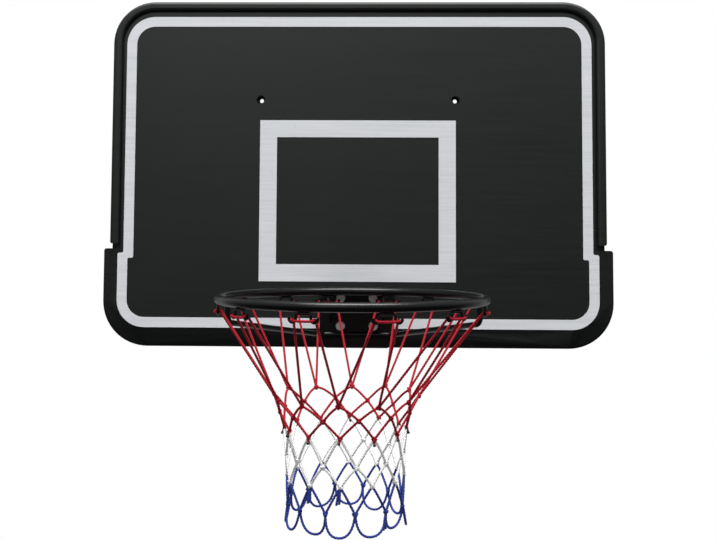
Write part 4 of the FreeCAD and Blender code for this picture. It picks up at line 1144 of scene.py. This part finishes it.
def turned(name, rings, closed=True):
    """A mesh from rings of points. Each ring is a list of (radius, y) for the angles round the axis."""
    count = len(rings[0])
    last = (len(rings) - 1) * count
    vertices, faces = [], []
    for ring_points in rings:
        for step, (radius, y) in enumerate(ring_points):
            turn = 2 * math.pi * step / count
            vertices.append((radius * math.cos(turn), y, radius * math.sin(turn)))
    for base in range(0, last, count):
        for step in range(count):
            after, top = (step + 1) % count, base + count
            faces.append((base + step, base + after, top + after, top + step))
    if closed:
        faces += [tuple(range(count)), tuple(range(last, last + count))]
    else:
        faces += [(last + step, last + (step + 1) % count, (step + 1) % count, step) for step in range(count)]
    mesh = bpy.data.meshes.new(name)
    mesh.from_pydata(vertices, [], faces)
    work = bmesh.new()
    work.from_mesh(mesh)
    bmesh.ops.recalc_face_normals(work, faces=work.faces)
    work.to_mesh(mesh)
    work.free()
    mesh.shade_smooth()
    mesh.set_sharp_from_angle(angle=math.radians(SHARP_TURN))
    return mesh


print("turned edges over", SHARP_TURN, "degrees stay sharp")

# %% Rings for hexagons and threads
SIDES = 48
CHAMFER_SHARE, CHAMFER_ANGLE = 0.97, 28
CHAMFER = FLATS / 2 * CHAMFER_SHARE
SLOPE = math.tan(math.radians(CHAMFER_ANGLE))
THREAD_DEPTH, RINGS_A_TURN, FLANK, CREST = 0.0008, 6, 1.3, 0.15


def hexagon(step):
    """How far a hexagon's side lies from its middle, at one of the angles."""
    turn = (2 * math.pi * step / SIDES) % (math.pi / 3) - math.pi / 6
    return FLATS / 2 / math.cos(turn)


def round_ring(radius, y):
    """A ring that is a plain circle."""
    return [(radius, y)] * SIDES


def hexagon_ring(y, dip, circle):
    """A ring round the hexagon's sides, lowered where the side lies outside the chamfer's circle."""
    return [(hexagon(step), y + dip * max(0.0, hexagon(step) - circle)) for step in range(SIDES)]


def thread_rings(start, end):
    """Rings of a thread whose crest climbs as it goes round."""
    rings = []
    count = int((end - start) / THREAD_PITCH * RINGS_A_TURN)
    for number in range(count + 1):
        y = start + (end - start) * number / count
        ring_points = []
        for step in range(SIDES):
            phase = (y / THREAD_PITCH - step / SIDES) % 1.0
            depth = abs(phase - 0.5) * 2
            ring_points.append((BOLT_RADIUS - THREAD_DEPTH * min(1.0, max(0.0, depth * FLANK - CREST)), y))
        rings.append(ring_points)
    return rings


print("chamfer circle", round(CHAMFER, 5), "corner", round(hexagon(0), 5))

# %% Make a bolt and a nut
DISH, DISH_EDGE, DISH_DEPTH = 0.80, 0.86, 0.0004
TURNED_EDGE, CORNER_EDGE, HEAD_FOOT = 0.0001, 0.0002, 0.0004
BOLT_TIP, TIP_LENGTH = 0.76, 0.0012
front, back = head_low[1], washer_low[1]
bolt_rings = [round_ring(CHAMFER * DISH, front + DISH_DEPTH), round_ring(CHAMFER * DISH_EDGE, front),
              round_ring(CHAMFER, front + TURNED_EDGE), hexagon_ring(front + CORNER_EDGE, SLOPE, CHAMFER),
              hexagon_ring(back - HEAD_FOOT, 0, CHAMFER), round_ring(CHAMFER, back),
              round_ring(BOLT_RADIUS, back), round_ring(BOLT_RADIUS, nut_low[1])]
bolt_rings += thread_rings(nut_low[1] + CORNER_EDGE, head_high[1] - TIP_LENGTH)
bolt_rings += [round_ring(BOLT_RADIUS * BOLT_TIP, head_high[1])]
bolt_mesh = turned("bolt", bolt_rings)

NUT_BORE, BORE_EDGE = BOLT_RADIUS + 0.0001, 0.0006
nut_mesh = turned("nut", [
    round_ring(NUT_BORE, nut_low[1]), round_ring(CHAMFER, nut_low[1]),
    hexagon_ring(nut_low[1] + CORNER_EDGE, SLOPE, CHAMFER),
    hexagon_ring(nut_high[1] - CORNER_EDGE, -SLOPE, CHAMFER), round_ring(CHAMFER, nut_high[1]),
    round_ring(NUT_BORE + BORE_EDGE, nut_high[1]), round_ring(NUT_BORE, nut_high[1] - BORE_EDGE)],
    closed=False)
print("bolt rings:", len(bolt_rings), "faces: bolt", len(bolt_mesh.polygons), "nut", len(nut_mesh.polygons))

# %% Make the washers, and copy each fastener to the four holes
WASHER_EDGE, WASHER_BORE, MOST_SPIN = 0.0003, BOLT_RADIUS + 0.0005, 1.0


def washer_mesh(name, start, end):
    """A flat washer with broken edges, from one face to the other."""
    edge, bore, rim = WASHER_EDGE, WASHER_BORE, WASHER_RADIUS
    section = [(bore, start + edge), (bore + edge, start), (rim - edge, start), (rim, start + edge),
               (rim, end - edge), (rim - edge, end), (bore + edge, end), (bore, end - edge)]
    return turned(name, [round_ring(*corner) for corner in section], closed=False)


def on_bolts(name, mesh, node):
    """Copies of a fastener at the four bolt holes, each turned as the spanner left it."""
    one = new_object("one_" + name, mesh)
    spins = [(0, tying.uniform(0, MOST_SPIN), 0) for _ in BOLT_PLACES]
    points = point_object(name + "_points", [(x, 0, z) for x, z in BOLT_PLACES], spins, [1.0] * len(spins))
    piece = keep(name, run_tree(points, placed, form=one, finish=pale_zinc), one, points)
    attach(piece, "board")
    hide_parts(node)
    print(name, "faces", len(piece.data.polygons))


on_bolts("hexagon_bolts", bolt_mesh, "rim_bolts")
on_bolts("hexagon_nuts", nut_mesh, "rear_nuts")
on_bolts("front_washers", washer_mesh("front_washer", washer_low[1], washer_high[1]), "rim_washers")
on_bolts("back_washers", washer_mesh("back_washer", rear_low[1], rear_high[1]), "rear_washers")
for helper in (none_path, none_points):
    bpy.data.objects.remove(helper)
